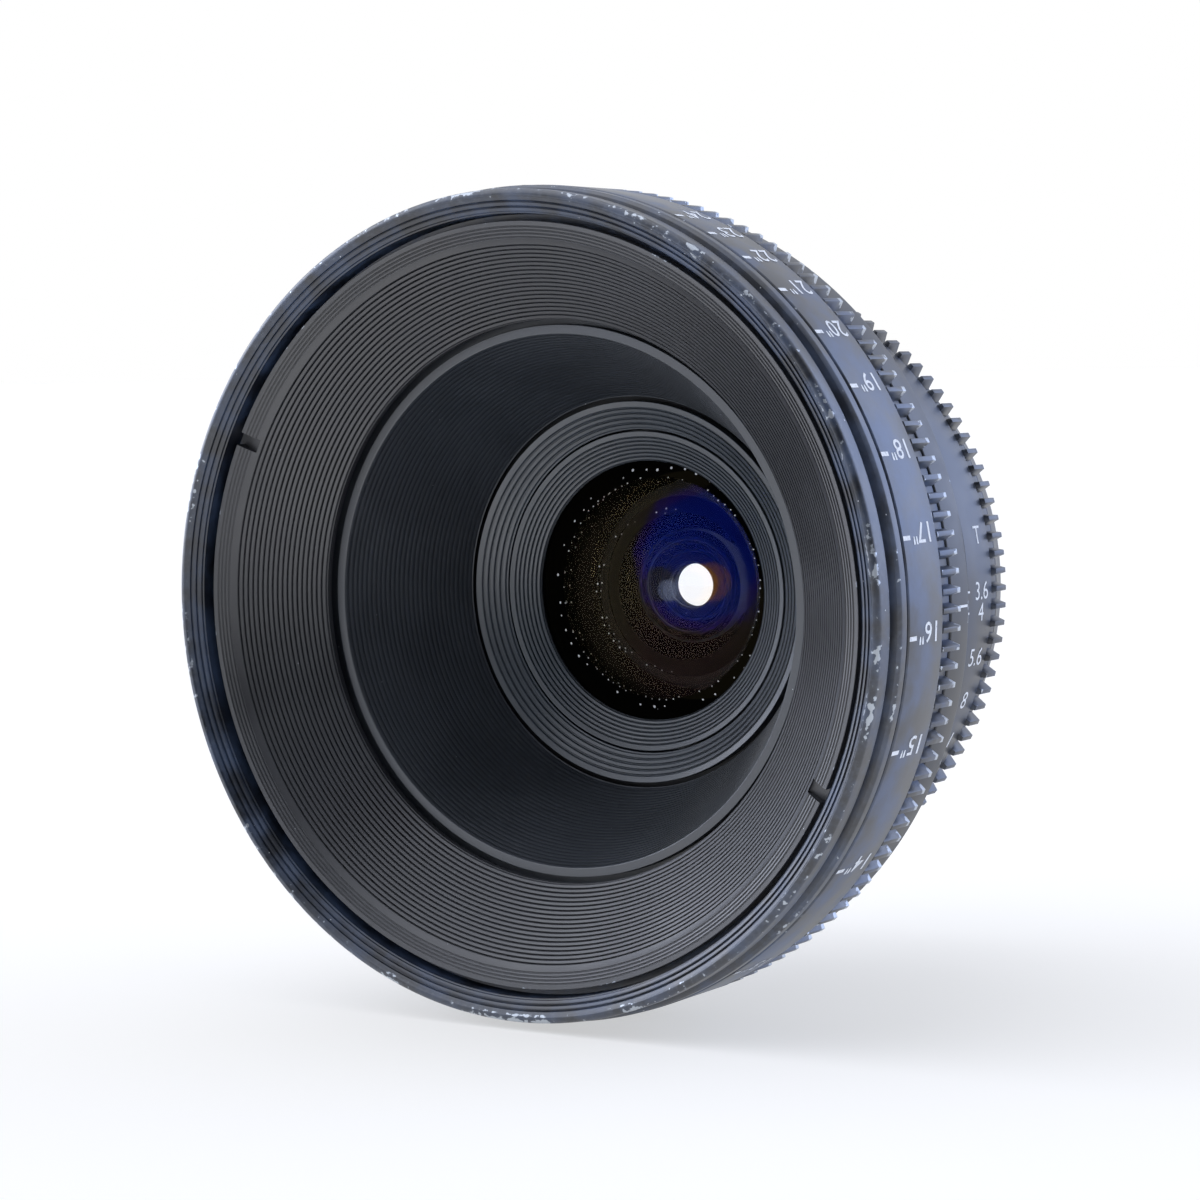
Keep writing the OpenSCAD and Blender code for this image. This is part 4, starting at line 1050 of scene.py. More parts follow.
@dataclass
class Engraver:
    """Engraves figures and lines into a ring and fills them with paint."""

    radius: float
    lift: float = 0.035
    height: float = 3.0
    cap_share: float = 0.72
    narrow: float = 0.8
    stroke: float = 0.02
    curve_steps: int = 3
    bm: bmesh.types.BMesh = field(default_factory=bmesh.new)

    def wrap(self, x: float, y: float, azimuth: float, along: float, reading: Reading) -> Vector:
        """Lays a flat point on the ring.

        Args:
            x: distance along the writing in millimetres.
            y: distance up the writing.
            azimuth: angle of the writing's middle in degrees.
            along: place of its middle in front of the seating face.
            reading: which way it is read.

        Returns:
            The point in metres.
        """
        sign = 1.0 if reading is Reading.FROM_FRONT else -1.0
        angle = math.radians(azimuth) + sign * y / self.radius
        r = (self.radius + self.lift) * MM
        return Vector((r * math.cos(angle), -(along - sign * x) * MM, r * math.sin(angle)))

    def figures(self, words: str, azimuth: float, along: float, reading: Reading) -> None:
        """Writes figures on the ring.

        Args:
            words: what is written.
            azimuth: angle of its middle in degrees.
            along: place of its middle along the axis.
            reading: which way it is read.
        """
        curve = bpy.data.curves.new("figures", "FONT")
        curve.body = words
        curve.size = self.height / self.cap_share
        curve.offset = self.stroke
        curve.resolution_u = self.curve_steps
        curve.align_x, curve.align_y = "CENTER", "CENTER"
        holder = placed("figures", curve)
        bpy.context.view_layer.update()
        mesh = bpy.data.meshes.new_from_object(holder.evaluated_get(bpy.context.evaluated_depsgraph_get()))
        flat = bmesh.new()
        flat.from_mesh(mesh)
        heights = [v.co.y for v in flat.verts]
        middle = (min(heights) + max(heights)) / 2
        for v in flat.verts:
            v.co = self.wrap(v.co.x * self.narrow, v.co.y - middle, azimuth, along, reading)
        bmesh.ops.recalc_face_normals(flat, faces=flat.faces)
        flat.to_mesh(mesh)
        flat.free()
        self.bm.from_mesh(mesh)
        bpy.data.objects.remove(holder)
        bpy.data.curves.remove(curve)
        bpy.data.meshes.remove(mesh)

    def line(self, azimuth: float, front: float, rear: float, width: float) -> None:
        """Cuts a line along the axis.

        Args:
            azimuth: its angle in degrees.
            front: where it starts.
            rear: where it ends.
            width: its width in millimetres.
        """
        flat = bmesh.ops.create_grid(self.bm, x_segments=1, y_segments=1, size=0.5)["verts"]
        for v in flat:
            v.co = self.wrap(v.co.x * (front - rear), v.co.y * width, azimuth, (front + rear) / 2,
                             Reading.FROM_FRONT)


@dataclass
class FrontRing:
    """Front ring: rounded rim, lip, mouth ribs, neck groove and ridge."""

    shop: Workshop
    rim: float = 57.0
    rim_round: float = 0.8
    rim_chords: int = 8
    rim_len: float = 3.4
    lip: float = 1.15
    rib_pitch: float = 0.73
    rib_drop: float = 0.4
    rib_count: int = 3
    neck_len: float = 0.7
    neck_deep: float = 1.1
    ridge_len: float = 2.0
    shoulder: float = 4.6
    spigot_wall: float = 1.7
    tube_wall: float = 2.2
    seat_gap: float = 0.05
    rub_in: float = 0.2
    rub_down: float = 0.3

    def build(self) -> None:
        """Turns the ring and dresses it."""
        front, rear, ridge = front_end("front_ring"), rear_end("front_ring"), far_edge("front_ring")
        half, lip = BROKEN / 2, self.rim - self.lip
        neck, foot = front - self.rim_len, self.rim - self.neck_deep
        ridge_rear = front - self.rim_len - 2 * BROKEN - self.neck_len - self.ridge_len
        ridge_front = ridge_rear + self.ridge_len
        spigot = far_edge("main_barrel") - self.tube_wall - self.seat_gap
        bore = lip - self.rib_count * self.rib_pitch
        mouth = front - half - self.rib_count * self.rib_drop
        outline = [
            *arc((self.rim - self.rim_round, front - self.rim_round), self.rim_round, 90, 0, self.rim_chords),
            (self.rim, neck + BROKEN), (self.rim - BROKEN, neck), (foot, neck - BROKEN),
            (foot, neck - BROKEN - self.neck_len), (ridge - BROKEN, ridge_front + half),
            (ridge, ridge_front - BROKEN), (ridge, ridge_rear + half), (ridge - half, ridge_rear),
            (spigot, ridge_rear), (spigot, rear), (spigot - self.spigot_wall, rear),
            (spigot - self.spigot_wall, front - self.shoulder), (bore, front - self.shoulder), (bore, mouth),
            *reversed(grooved((lip, front - half), (bore, mouth), self.rib_count)),
            (lip, front - half), (lip + half, front)]
        edges = (WearAndHighlightEdge(self.rim - self.rub_in, front - self.rub_down, reach=0.9, amount=0.9),
                 WearAndHighlightEdge(lip, front, reach=0.5, amount=0.7),
                 WearAndHighlightEdge(ridge, ridge_front - half, reach=0.7, amount=0.55),
                 WearAndHighlightEdge(ridge, ridge_rear, reach=0.45, amount=0.5),
                 WearAndHighlightEdge(self.rim, neck, reach=0.9, amount=0.7))
        finish = BlackAnodised("anodised_front_ring", "#171b24", "#34435c", edges=edges, cloud_mm=5.0,
                               dust_share=0.14, roughness=0.36)
        bm = self.shop.spun(eased(outline, RING_ROUND))
        self.shop.keep(bm, "front_rim", finish.build(), "barrel", "front_ring")


@dataclass
class OuterBaffle:
    """Outer baffle: thread band, long grooved funnel and two spanner slots."""

    shop: Workshop
    depth: float = 2.5
    band: float = 2.3
    band_drop: float = 0.8
    band_lines: int = 4
    land: float = 0.5
    funnel_len: float = 8.4
    funnel_inner: float = 39.4
    grooves: int = 19
    groove_share: float = 0.28
    wall: float = 1.2
    slot_width: float = 2.0
    slot_deep: float = 1.0
    slot_azimuth: float = -26.2
    neck_inside: float = 4.0
    seat_deep: float = 2.1
    thread_len: float = 4.0

    def build(self) -> None:
        """Turns the funnel, mills the slots and dresses it."""
        rim = far_edge("outer_baffle")
        top = front_end("outer_baffle")
        face = front_end("front_ring") - self.depth
        band = face - self.band_drop
        funnel = (rim - self.band - self.land, band - self.land)
        lip = (self.funnel_inner, funnel[1] - self.funnel_len)
        seat = face - self.seat_deep
        neck = far_edge("main_barrel") - self.neck_inside
        outline = [
            (rim, seat), (rim, top),
            *grooved((rim - BROKEN, face), (funnel[0] + self.land, band), self.band_lines, GROOVE / 2), funnel,
            *grooved(funnel, lip, self.grooves, GROOVE, self.groove_share), lip, (lip[0], lip[1] - self.wall),
            (lip[0] + self.wall, lip[1] - self.wall),
            (neck - self.wall, funnel[1] - 2 * self.wall - GROOVE), (neck - self.wall, seat - self.thread_len),
            (neck, seat - self.thread_len), (neck, seat)]
        finish = BlackAnodised("anodised_outer_baffle", "#191b22", "#1e2129", roughness=0.46, sheen_level=1.0,
                               cloud_mm=24.0, dust_share=0.10, dust_spacing_mm=1.7, dust_mm=0.075,
                               edges=(WearAndHighlightEdge(rim, top, reach=0.35, amount=0.3),))
        bm = self.shop.spun(eased(outline, RIB_ROUND, 1))
        piece = self.shop.keep(bm, "outer_funnel", finish.build(), "barrel", "outer_baffle")
        slots = [Hole(self.slot_azimuth + side, face - self.band_drop / 2, funnel[0], rim + OVERCUT,
                      self.slot_width, 2 * self.slot_deep + self.band_drop) for side in (0, 180)]
        self.shop.drilled(piece, slots)


@dataclass
class InnerBaffle:
    """Inner baffle: the long, steep grooved funnel that moves with the optics."""

    shop: Workshop
    land: float = 1.25
    flange_rim: float = 2.05
    funnel_inner: float = 28.4
    grooves: int = 28
    wall: float = 1.2
    gap: float = 0.7
    step: float = 1.5
    flange: float = 2.0

    def build(self) -> None:
        """Turns the funnel and dresses it."""
        front, rear = front_end("inner_baffle"), rear_end("inner_baffle")
        outer = far_edge("inner_baffle")
        land = OuterBaffle.funnel_inner - self.gap
        start, end = (land - self.land, front), (self.funnel_inner, rear)
        flange = front - self.step
        inner = outer - self.flange_rim
        outline = [
            (land, flange), (land, front), start, *grooved(start, end, self.grooves),
            (end[0] + self.wall, rear), (inner - self.wall, flange - 2 * self.flange),
            (inner, flange - 2 * self.flange), (inner, flange - self.flange), (outer, flange - self.flange),
            (outer, flange)]
        finish = BlackAnodised("anodised_inner_baffle", "#262c34", "#2c333c", roughness=0.46, sheen_level=1.0,
                               cloud_mm=20.0, dust_share=0.14, dust_spacing_mm=1.6, dust_mm=0.07)
        bm = self.shop.spun(eased(outline, RIB_ROUND, 1))
        self.shop.keep(bm, "inner_funnel", finish.build(), "optics", "inner_baffle")


@dataclass(frozen=True)
class LensForm:
    """Shape of one glass element as shares of the front element's edge radius, and its glass."""

    edge: float
    front_curve: float
    rear_curve: float
    centre: float
    rim: float
    ior: float
    bending: Bending


def sag(curve: float, radius: float) -> float:
    """Depth of a spherical face at a radius."""
    return abs(curve) - math.sqrt(curve**2 - radius**2)


@dataclass(frozen=True)
class Ground:
    """One element's edge and curves, and its places in front of the seating face, in millimetres."""

    edge: float
    front_curve: float
    rear_curve: float
    vertex: float
    rear_vertex: float
    rim_front: float
    flat: float

    def front_at(self, radius: float) -> float:
        """Place of the front face at a radius."""
        return self.vertex - math.copysign(sag(self.front_curve, radius), self.front_curve)

    def rear_at(self, radius: float) -> float:
        """Place of the rear face at a radius."""
        return self.rear_vertex - math.copysign(sag(self.rear_curve, radius), self.rear_curve)

    def outline(self, chords: int) -> list[Point]:
        """Outlines the element between its two spherical faces.

        Args:
            chords: parts of each face.

        Returns:
            The half section, from the axis out and back to the axis.
        """
        reach = self.edge
        if self.rear_curve > 0:
            reach = math.sqrt(self.rear_curve**2 - (self.rear_curve - (self.rear_vertex - self.flat)) ** 2)
        steps = range(chords + 1)
        face = [(r, self.front_at(r)) for r in (self.edge * i / chords for i in steps)]
        back = [(r, self.rear_at(r)) for r in (reach * i / chords for i in reversed(steps))]
        return [*face, *([(self.edge, self.flat)] if reach < self.edge else []), *back]


@dataclass
class Glass:
    """The glass cell: ribbed face, retaining ring and nine elements."""

    shop: Workshop
    unit: float = 19.9
    face_width: float = 4.1
    face_drop: float = 2.3
    face_ribs: int = 5
    retainer_ribs: int = 7
    retainer_drop: float = 2.0
    retainer_lip: float = 0.95
    retainer_edge: float = 0.45
    body_wall: float = 6.1
    flange_thick: float = 2.0
    land: float = 0.6
    clear: float = 0.05
    arc_chords: int = 22
    bright_coats: int = 3
    bright_coat: str = "#6a6040"
    dim_coat: str = "#4a4430"
    front_strength: float = 0.4
    inner_strength: float = 0.06
    dust_share: float = 0.04
    clear_part: Ghost = Ghost((2.1, 0.45), 16.3, "#040404", 0.35)
    # Painted reflections on the front glass: broad veil discs of reflected coat colour, lighter and darker, and
    # ghost discs beside the pupil.
    reflection_veils: tuple[Ghost, ...] = (
        Ghost((2.1, 0.45), 16.4, "#15130c", 0.4), Ghost((2.9, 0.2), 14.6, "#1e1a13", 0.4),
        Ghost((7.0, -9.0), 13.0, "#1d1414", 8.0), Ghost((9.0, 12.0), 9.0, "#08080b", 6.0))
    ghosts: tuple[Ghost, ...] = (
        Ghost((8.6, 0.9), 3.6, "#161c38", 0.8), Ghost((9.75, 1.4), 3.0, "#6a4317", 0.5),
        Ghost((3.5, 1.2), 2.7, "#1b1c2a"), Ghost((8.3, 1.1), 2.5, "#2a3350", 0.7),
        Ghost((4.9, 0.35), 1.7, "#4d5468"))
    dots: tuple[DotRing, ...] = (
        DotRing((2.2, 0.5), 17.1, 0.15, 52, 0.7), DotRing((2.1, 0.45), 16.0, 0.08, 90, 0.6),
        DotRing((4.1, 0.1), 11.2, 0.09, 56, 0.6, True))
    forms: tuple[LensForm, ...] = (
        LensForm(1.000, 2.41, 1.03, 0.100, 0.250, 1.60, Bending.REAL),
        LensForm(0.769, 1.81, 0.73, 0.075, 0.222, 1.60, Bending.REAL),
        LensForm(0.563, -3.52, 0.955, 0.060, 0.236, 1.70, Bending.REAL),
        LensForm(0.523, 1.11, -1.31, 0.377, 0.0, 1.50, Bending.REAL),
        LensForm(0.382, -0.90, 1.21, 0.060, 0.207, 1.60, Bending.THIN),
        LensForm(0.422, 1.23, -0.855, 0.261, 0.0, 1.60, Bending.REAL),
        LensForm(0.482, -2.76, -1.21, 0.161, 0.0, 1.60, Bending.THIN),
        LensForm(0.543, 4.52, -1.71, 0.201, 0.0, 1.60, Bending.THIN),
        LensForm(0.573, -2.01, -4.52, 0.070, 0.0, 1.60, Bending.THIN))

    def ground(self, number: int) -> Ground:
        """Works out an element's faces from its shape and from its place in the frame.

        Args:
            number: the element's number from the front.

        Returns:
            The faces.
        """
        form = self.forms[number - 1]
        edge, front, rear = (share * self.unit for share in (form.edge, form.front_curve, form.rear_curve))
        top = front_end(f"element_{number}")
        vertex = top if front > 0 else top - sag(front, edge)
        rim = vertex - math.copysign(sag(front, edge), front)
        return Ground(edge, front, rear, vertex, vertex - form.centre * self.unit, rim,
                      rim - form.rim * self.unit)

    def lathe_glass(self, number: int, form: LensForm) -> None:
        """Grinds one element and coats it.

        Args:
            number: the element's number from the front.
            form: its shape.
        """
        bm = self.shop.spun(self.ground(number).outline(self.arc_chords), SMALL_STEPS, closed=False)
        coat = self.bright_coat if number <= self.bright_coats else self.dim_coat
        strength = self.front_strength if number == 1 else self.inner_strength
        finish = CoatedGlass(f"coated_glass_{number}", form.ior, form.bending, coat, strength)
        # The front element takes the painted reflections, the dark edge band and the pale dots.
        if number == 1:
            finish = replace(finish, window=PaintedWindowReflection(), clear=self.clear_part, reflection_veils=self.reflection_veils,
                             ghosts=self.ghosts, dots=self.dots, dust_share=self.dust_share)
        self.shop.keep(bm, f"glass_{number}", finish.build(), "optics", f"element_{number}")

    def build(self) -> None:
        """Turns the cell and the retaining ring and grinds the glass."""
        front, rear, flange = front_end("front_cell"), rear_end("front_cell"), far_edge("front_cell")
        face_in = (flange - self.face_width, front - self.face_drop)
        web, body = front - self.flange_thick, self.unit + self.body_wall
        one, two, three, four = (self.ground(number) for number in (1, 2, 3, 4))
        bores = [glass.edge + self.clear for glass in (one, two, three, four)]
        land = bores[3] - self.clear - self.land
        stop = four.rear_at(land) - self.clear
        second = two.rim_front + self.clear
        outline = [
            (body, rear), (body, web), (flange, web), (flange, front),
            *grooved((flange - BROKEN, front), face_in, self.face_ribs), face_in,
            (face_in[0], one.rim_front), (bores[0], one.rim_front), (bores[0], second), (bores[1], second),
            (bores[1], two.flat), (bores[2], two.flat), (bores[2], three.flat), (bores[3], three.flat),
            (bores[3], stop), (land, stop), (land, rear)]
        finish = BlackAnodised("anodised_cell", "#333b44", "#3a434d", sheen_level=1.0, cloud_mm=18.0,
                               dust_share=0.12, dust_spacing_mm=1.4, dust_mm=0.07)
        bm = self.shop.spun(eased(outline, RIB_ROUND, 1))
        self.shop.keep(bm, "glass_cell", finish.build(), "optics", "front_cell")
        retainer = far_edge("front_retainer")
        top, low = front_end("front_retainer"), rear_end("front_retainer")
        inner, lip = self.unit - self.retainer_lip, top - self.retainer_drop
        outline = [
            (retainer, low), (retainer, top),
            *grooved((retainer - BROKEN, top), (inner, lip), self.retainer_ribs),
            (inner, lip - self.retainer_edge), (self.unit, low)]
        bm = self.shop.spun(eased(outline, RETAINER_ROUND, 1))
        self.shop.keep(bm, "retaining_ring", finish.build(), "optics", "front_retainer")
        for number, form in enumerate(self.forms, start=1):
            self.lathe_glass(number, form)


@dataclass
class FocusRing:
    """Focus ring: scale band, gear and the engraved distance scale."""

    shop: Workshop
    teeth: int = 142
    band_rise: float = 1.9
    wall: float = 3.8
    gear_width: float = 5.9
    far_angle: float = 176.56
    scale_constant: float = 2304.1
    front_focus: float = 3.16
    marked: tuple[int, ...] = (*range(12, 25), 30, 36, 48, 72)
    feet_from: int = 36
    figure_height: float = 2.8
    figure_width: float = 1.15
    figure_turn: float = 0.5
    figure_stroke: float = 0.03
    figures_middle: float = 5.85
    tick_from: float = 0.15
    tick_len: float = 2.0
    tick_width: float = 0.6
    rear_wear_and_highlight: float = 0.3
    rub_front: float = 0.6

    def azimuth_of(self, inches: float) -> float:
        """Angle on the scale, in degrees, of a distance from the film plane."""
        return self.far_angle - self.scale_constant / (inches - self.front_focus)

    def build(self) -> None:
        """Turns the ring, cuts the teeth, engraves the scale and dresses it."""
        tip, front, rear = far_edge("focus_ring"), front_end("focus_ring"), rear_end("focus_ring")
        gear = Gear(self.teeth, tip, rear + self.gear_width, rear)
        band = gear.root + self.band_rise
        bm = self.shop.geared(gear, band - self.wall, band, front)
        # The near-white rear tooth ends are partly rubbed-through anodising and partly a painted highlight.
        edges = (WearAndHighlightEdge(tip, rear + self.rear_wear_and_highlight, reach=1.2, amount=2.4),
                 WearAndHighlightEdge(tip, gear.front - self.rub_front, reach=0.5, amount=0.5),
                 WearAndHighlightEdge(band, front, reach=0.35, amount=0.4),
                 WearAndHighlightEdge(band, gear.front, reach=0.3, amount=0.35))
        finish = BlackAnodised("anodised_focus_ring", "#1b212b", "#3f5170", edges=edges, cloud_mm=6.5,
                               roughness=0.38, dust_share=0.04)
        self.shop.keep(bm, "focus_band_and_gear", finish.build(), "focus_ring", "focus_ring")
        pen = Engraver(band, height=self.figure_height, narrow=self.figure_width, stroke=self.figure_stroke)
        marks = [(f'{inches}"' if inches < self.feet_from else f"{inches // 12}'", self.azimuth_of(inches),
                  self.figure_turn) for inches in self.marked]
        start = front - self.tick_from
        for words, azimuth, turn in (*marks, ("∞", self.far_angle, 0.0)):
            pen.figures(words, azimuth + turn, front - self.figures_middle, Reading.FROM_REAR)
            pen.line(azimuth, start, start - self.tick_len, self.tick_width)
        self.shop.keep(pen.bm, "focus_scale", PaintFill("paint_filled_figures").build(), "focus_ring")


@dataclass
class IrisRing:
    """Iris ring: T-stop strip, gear and the engraved scale."""

    shop: Workshop
    teeth: int = 113
    strip_rise: float = 1.2
    bore: float = 41.05
    gear_width: float = 4.0
    rub_front: float = 0.6
    figure_height: float = 2.7
    figure_width: float = 0.95
    figures_middle: float = 4.7
    tick_from: float = 0.15
    tick_to: float = 0.8
    tick_width: float = 0.3
    letter: tuple[str, float] = ("T", 10.1)
    stops: tuple[tuple[str, float], ...] = (
        ("3.6", 0.0), ("4", -3.87), ("5.6", -12.2), ("8", -20.5), ("11", -28.8), ("16", -37.1), ("22", -45.4))

    def build(self) -> None:
        """Turns the ring, cuts the teeth, engraves the scale and dresses it."""
        tip, front, rear = far_edge("iris_ring"), front_end("iris_ring"), rear_end("iris_ring")
        gear = Gear(self.teeth, tip, rear + self.gear_width, rear)
        strip = gear.root + self.strip_rise
        bm = self.shop.geared(gear, self.bore, strip, front)
        edges = (WearAndHighlightEdge(tip, gear.front - self.rub_front, reach=0.5, amount=0.3),
                 WearAndHighlightEdge(strip, front, reach=0.3, amount=0.35))
        finish = BlackAnodised("anodised_iris_ring", "#22262f", "#364257", edges=edges, roughness=0.4,
                               dust_share=0.03)
        self.shop.keep(bm, "iris_strip_and_gear", finish.build(), "iris_ring", "iris_ring")
        pen = Engraver(strip, height=self.figure_height, narrow=self.figure_width, stroke=0.0)
        middle = front - self.figures_middle
        pen.figures(*self.letter, middle, Reading.FROM_FRONT)
        for words, azimuth in self.stops:
            pen.figures(words, azimuth, middle, Reading.FROM_FRONT)
            pen.line(azimuth, front - self.tick_from, front - self.tick_to, self.tick_width)
        self.shop.keep(pen.bm, "iris_scale", PaintFill("paint_filled_stops").build(), "iris_ring")


@dataclass
class Sleeves:
    """Fixed outer pieces: the flared index sleeve and the collar behind the iris ring."""

    shop: Workshop
    straight: float = 10.0
    straight_radius: float = 45.6
    wall: float = 2.0
    front_band: float = 5.2
    front_wall: float = 2.08
    line_gap: float = 0.3
    line_width: float = 0.35
    collar_bevel: float = 8.0
    collar_front_radius: float = 44.0
    collar_rear_radius: float = 41.0
    collar_bore: float = 40.45
    screws: int = 3
    sleeve_screw: float = 2.1
    sleeve_screw_azimuth: float = 60.0
    collar_screw: float = 1.9
    collar_screw_azimuth: float = 30.0

    def holes(self, node: str, azimuth: float, inner: float, outer: float, width: float) -> list[Hole]:
        """Places the holes of one CAD node's screws.

        Args:
            node: the screws' node.
            azimuth: angle of the first one in degrees.
            inner: radius where the holes end.
            outer: radius where they start.
            width: their width.

        Returns:
            The holes.
        """
        along = (front_end(node) + rear_end(node)) / 2
        return [Hole(azimuth + 360 / self.screws * i, along, inner, outer, width) for i in range(self.screws)]

    def index_line(self, name: str, radius: float, front: float, rear: float) -> None:
        """Engraves an index line on the sleeve.

        Args:
            name: the piece's name.
            radius: the sleeve's radius there.
            front: where the line starts.
            rear: where it ends.
        """
        pen = Engraver(radius)
        pen.line(0.0, front, rear, self.line_width)
        self.shop.keep(pen.bm, name, PaintFill("paint_filled_index").build(), "barrel")

    def build(self) -> None:
        """Turns both pieces, engraves the index lines and dresses them."""
        front, rear, wide = front_end("index_sleeve"), rear_end("index_sleeve"), far_edge("index_sleeve")
        slim, half = self.straight_radius, BROKEN / 2
        flare = rear + self.straight
        outline = [
            (slim - self.wall, rear), (slim - half, rear), (slim, rear + half), (slim, flare),
            (wide, front - self.front_band), (wide, front - half), (wide - half, front),
            (wide - self.front_wall, front), (wide - self.front_wall, front - self.front_band / 2),
            (slim - self.wall, flare - self.wall)]
        edges = (WearAndHighlightEdge(wide, front - self.front_band, reach=0.5, amount=0.3),
                 WearAndHighlightEdge(slim, rear, reach=0.3, amount=0.35))
        finish = BlackAnodised("anodised_index_sleeve", "#1c1e23", "#2b3039", edges=edges, sheen_level=0.6,
                               dust_share=0.03)
        sleeve = self.shop.keep(self.shop.spun(eased(outline, RING_ROUND)), "index_sleeve_skin",
                                    finish.build(), "barrel", "index_sleeve")
        self.shop.drilled(sleeve, self.holes("sleeve_screws", self.sleeve_screw_azimuth,
                                             slim - self.wall - OVERCUT, slim + OVERCUT, self.sleeve_screw))
        self.index_line("iris_index_line", slim, rear + self.line_gap, flare - BROKEN)
        self.index_line("focus_index_line", wide, front - self.line_gap,
                        front - self.front_band + self.line_gap)
        front, rear = front_end("rear_collar"), rear_end("rear_collar")
        broad, slim, bore = self.collar_front_radius, self.collar_rear_radius, self.collar_bore
        outline = [
            (bore, rear), (slim - half, rear), (slim, rear + half), (broad, rear + self.collar_bevel),
            (broad, front - half), (broad - half, front), (bore, front)]
        collar = self.shop.keep(self.shop.spun(eased(outline, RING_ROUND)), "collar_skin",
                                    finish.build(), "barrel", "rear_collar")
        self.shop.drilled(collar, self.holes("collar_screws", self.collar_screw_azimuth, bore - OVERCUT,
                                             broad + OVERCUT, self.collar_screw))


@dataclass
class Mount:
    """Breech-lock mount: spigot, flange with four lugs and the locating slot."""

    shop: Workshop
    bore: float = 24.5
    root: float = 30.7
    spigot: float = 27.0
    spigot_bevel: float = 0.8
    lugs: int = 4
    lug_span: float = 58.0
    lug_azimuth: float = 45.0
    slot_width: float = 3.0
    slot_deep: float = 2.4
    screws: int = 6
    screw_ring: float = 28.65
    screw_from: float = 15.0
    head: float = 1.25

    def build(self) -> None:
        """Turns the mount, bores the screw holes, makes the lugs, mills the slot and dresses them."""
        front, rear, tip = front_end("lens_mount"), rear_end("lens_mount"), far_edge("lens_mount")
        spigot, half = self.spigot, BROKEN / 2
        outline = [
            (self.bore, rear), (spigot - self.spigot_bevel, rear), (spigot, rear + self.spigot_bevel),
            (spigot, 0.0), (self.root, 0.0), (self.root, front), (self.bore, front)]
        steel = GroundSteel("ground_steel_mount").build()
        piece = self.shop.keep(self.shop.spun(eased(outline, MOUNT_ROUND)), "mount_skin", steel, "barrel",
                                   "lens_mount")
        turns = [self.screw_from + i * 360 / self.screws for i in range(self.screws)]
        self.shop.drilled(piece, [Hole(turn, front / 2, self.screw_ring, self.screw_ring, 2 * self.head,
                                       2 * front, False) for turn in turns])
        inner = self.root - BROKEN / 4
        lug = [(inner, 0.0), (tip - half, 0.0), (tip, half), (tip, front - BROKEN), (tip - BROKEN, front),
               (inner, front)]
        bm = bmesh.new()
        for i in range(self.lugs):
            start = self.lug_azimuth + 360 / self.lugs * i - self.lug_span / 2
            holder = meshed(self.shop.spun(eased(lug, GEAR_ROUND), LUG_STEPS, start, self.lug_span), "lug")
            bm.from_mesh(holder)
            bpy.data.meshes.remove(holder)
        lugs = self.shop.keep(bm, "mount_lugs", steel, "barrel")
        self.shop.drilled(lugs, [Hole(self.lug_azimuth, front / 2, tip - self.slot_deep, tip + OVERCUT,
                                      self.slot_width, 2 * front)])


@dataclass
class PlainNodes:
    """CAD nodes that keep their own mesh and only take a finish."""

    shop: Workshop

    def finish_for(self) -> dict[str, Callable[[], bpy.types.Material]]:
        """Names the finish of each kind of node by a part of its name.

        Returns:
            Part of a name to what makes the finish, in the order in which they are tried.
        """
        matt = BlackAnodised("matt_black_anodised", "#141517", "#1a1b1e", roughness=0.7, sheen_level=0.3,
                             dust_share=0.02)
        dark = BlackAnodised("dark_anodised_inside", "#1d1e21", "#26282c", roughness=0.55, sheen_level=0.4,
                             dust_share=0.02)
        return {
            "screws": BlackenedSteel("blackened_screws").build, "pin": BlackenedSteel("blackened_pin").build,
            "iris_blade": BlackenedSteel("blackened_blades", roughness=0.34).build,
            "keys": GroundSteel("ground_steel_keys").build, "shim": GroundSteel("ground_steel_shim").build,
            "mount": GroundSteel("ground_steel_node").build, "baffle": matt.build, "spacer": matt.build,
            "iris_housing": matt.build, "iris_cover": matt.build, "retainer": matt.build, "": dark.build}

    def build(self) -> None:
        """Dresses every CAD node."""
        finishes = self.finish_for()
        made: dict[str, bpy.types.Material] = {}
        for name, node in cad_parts.items():
            key = next(k for k in finishes if k in name)
            if key not in made:
                made[key] = finishes[key]()
            node.data.materials.clear()
            node.data.materials.append(made[key])
            if not node.hide_render:
                log.info("%s keeps its mesh", name)


@dataclass(frozen=True)
class Window:
    """A wide window: its direction, its strength in watts per square metre, its width in degrees, its light."""

    name: str
    place: tuple[float, float, float]
    strength: float
    spread: float
    colour: str


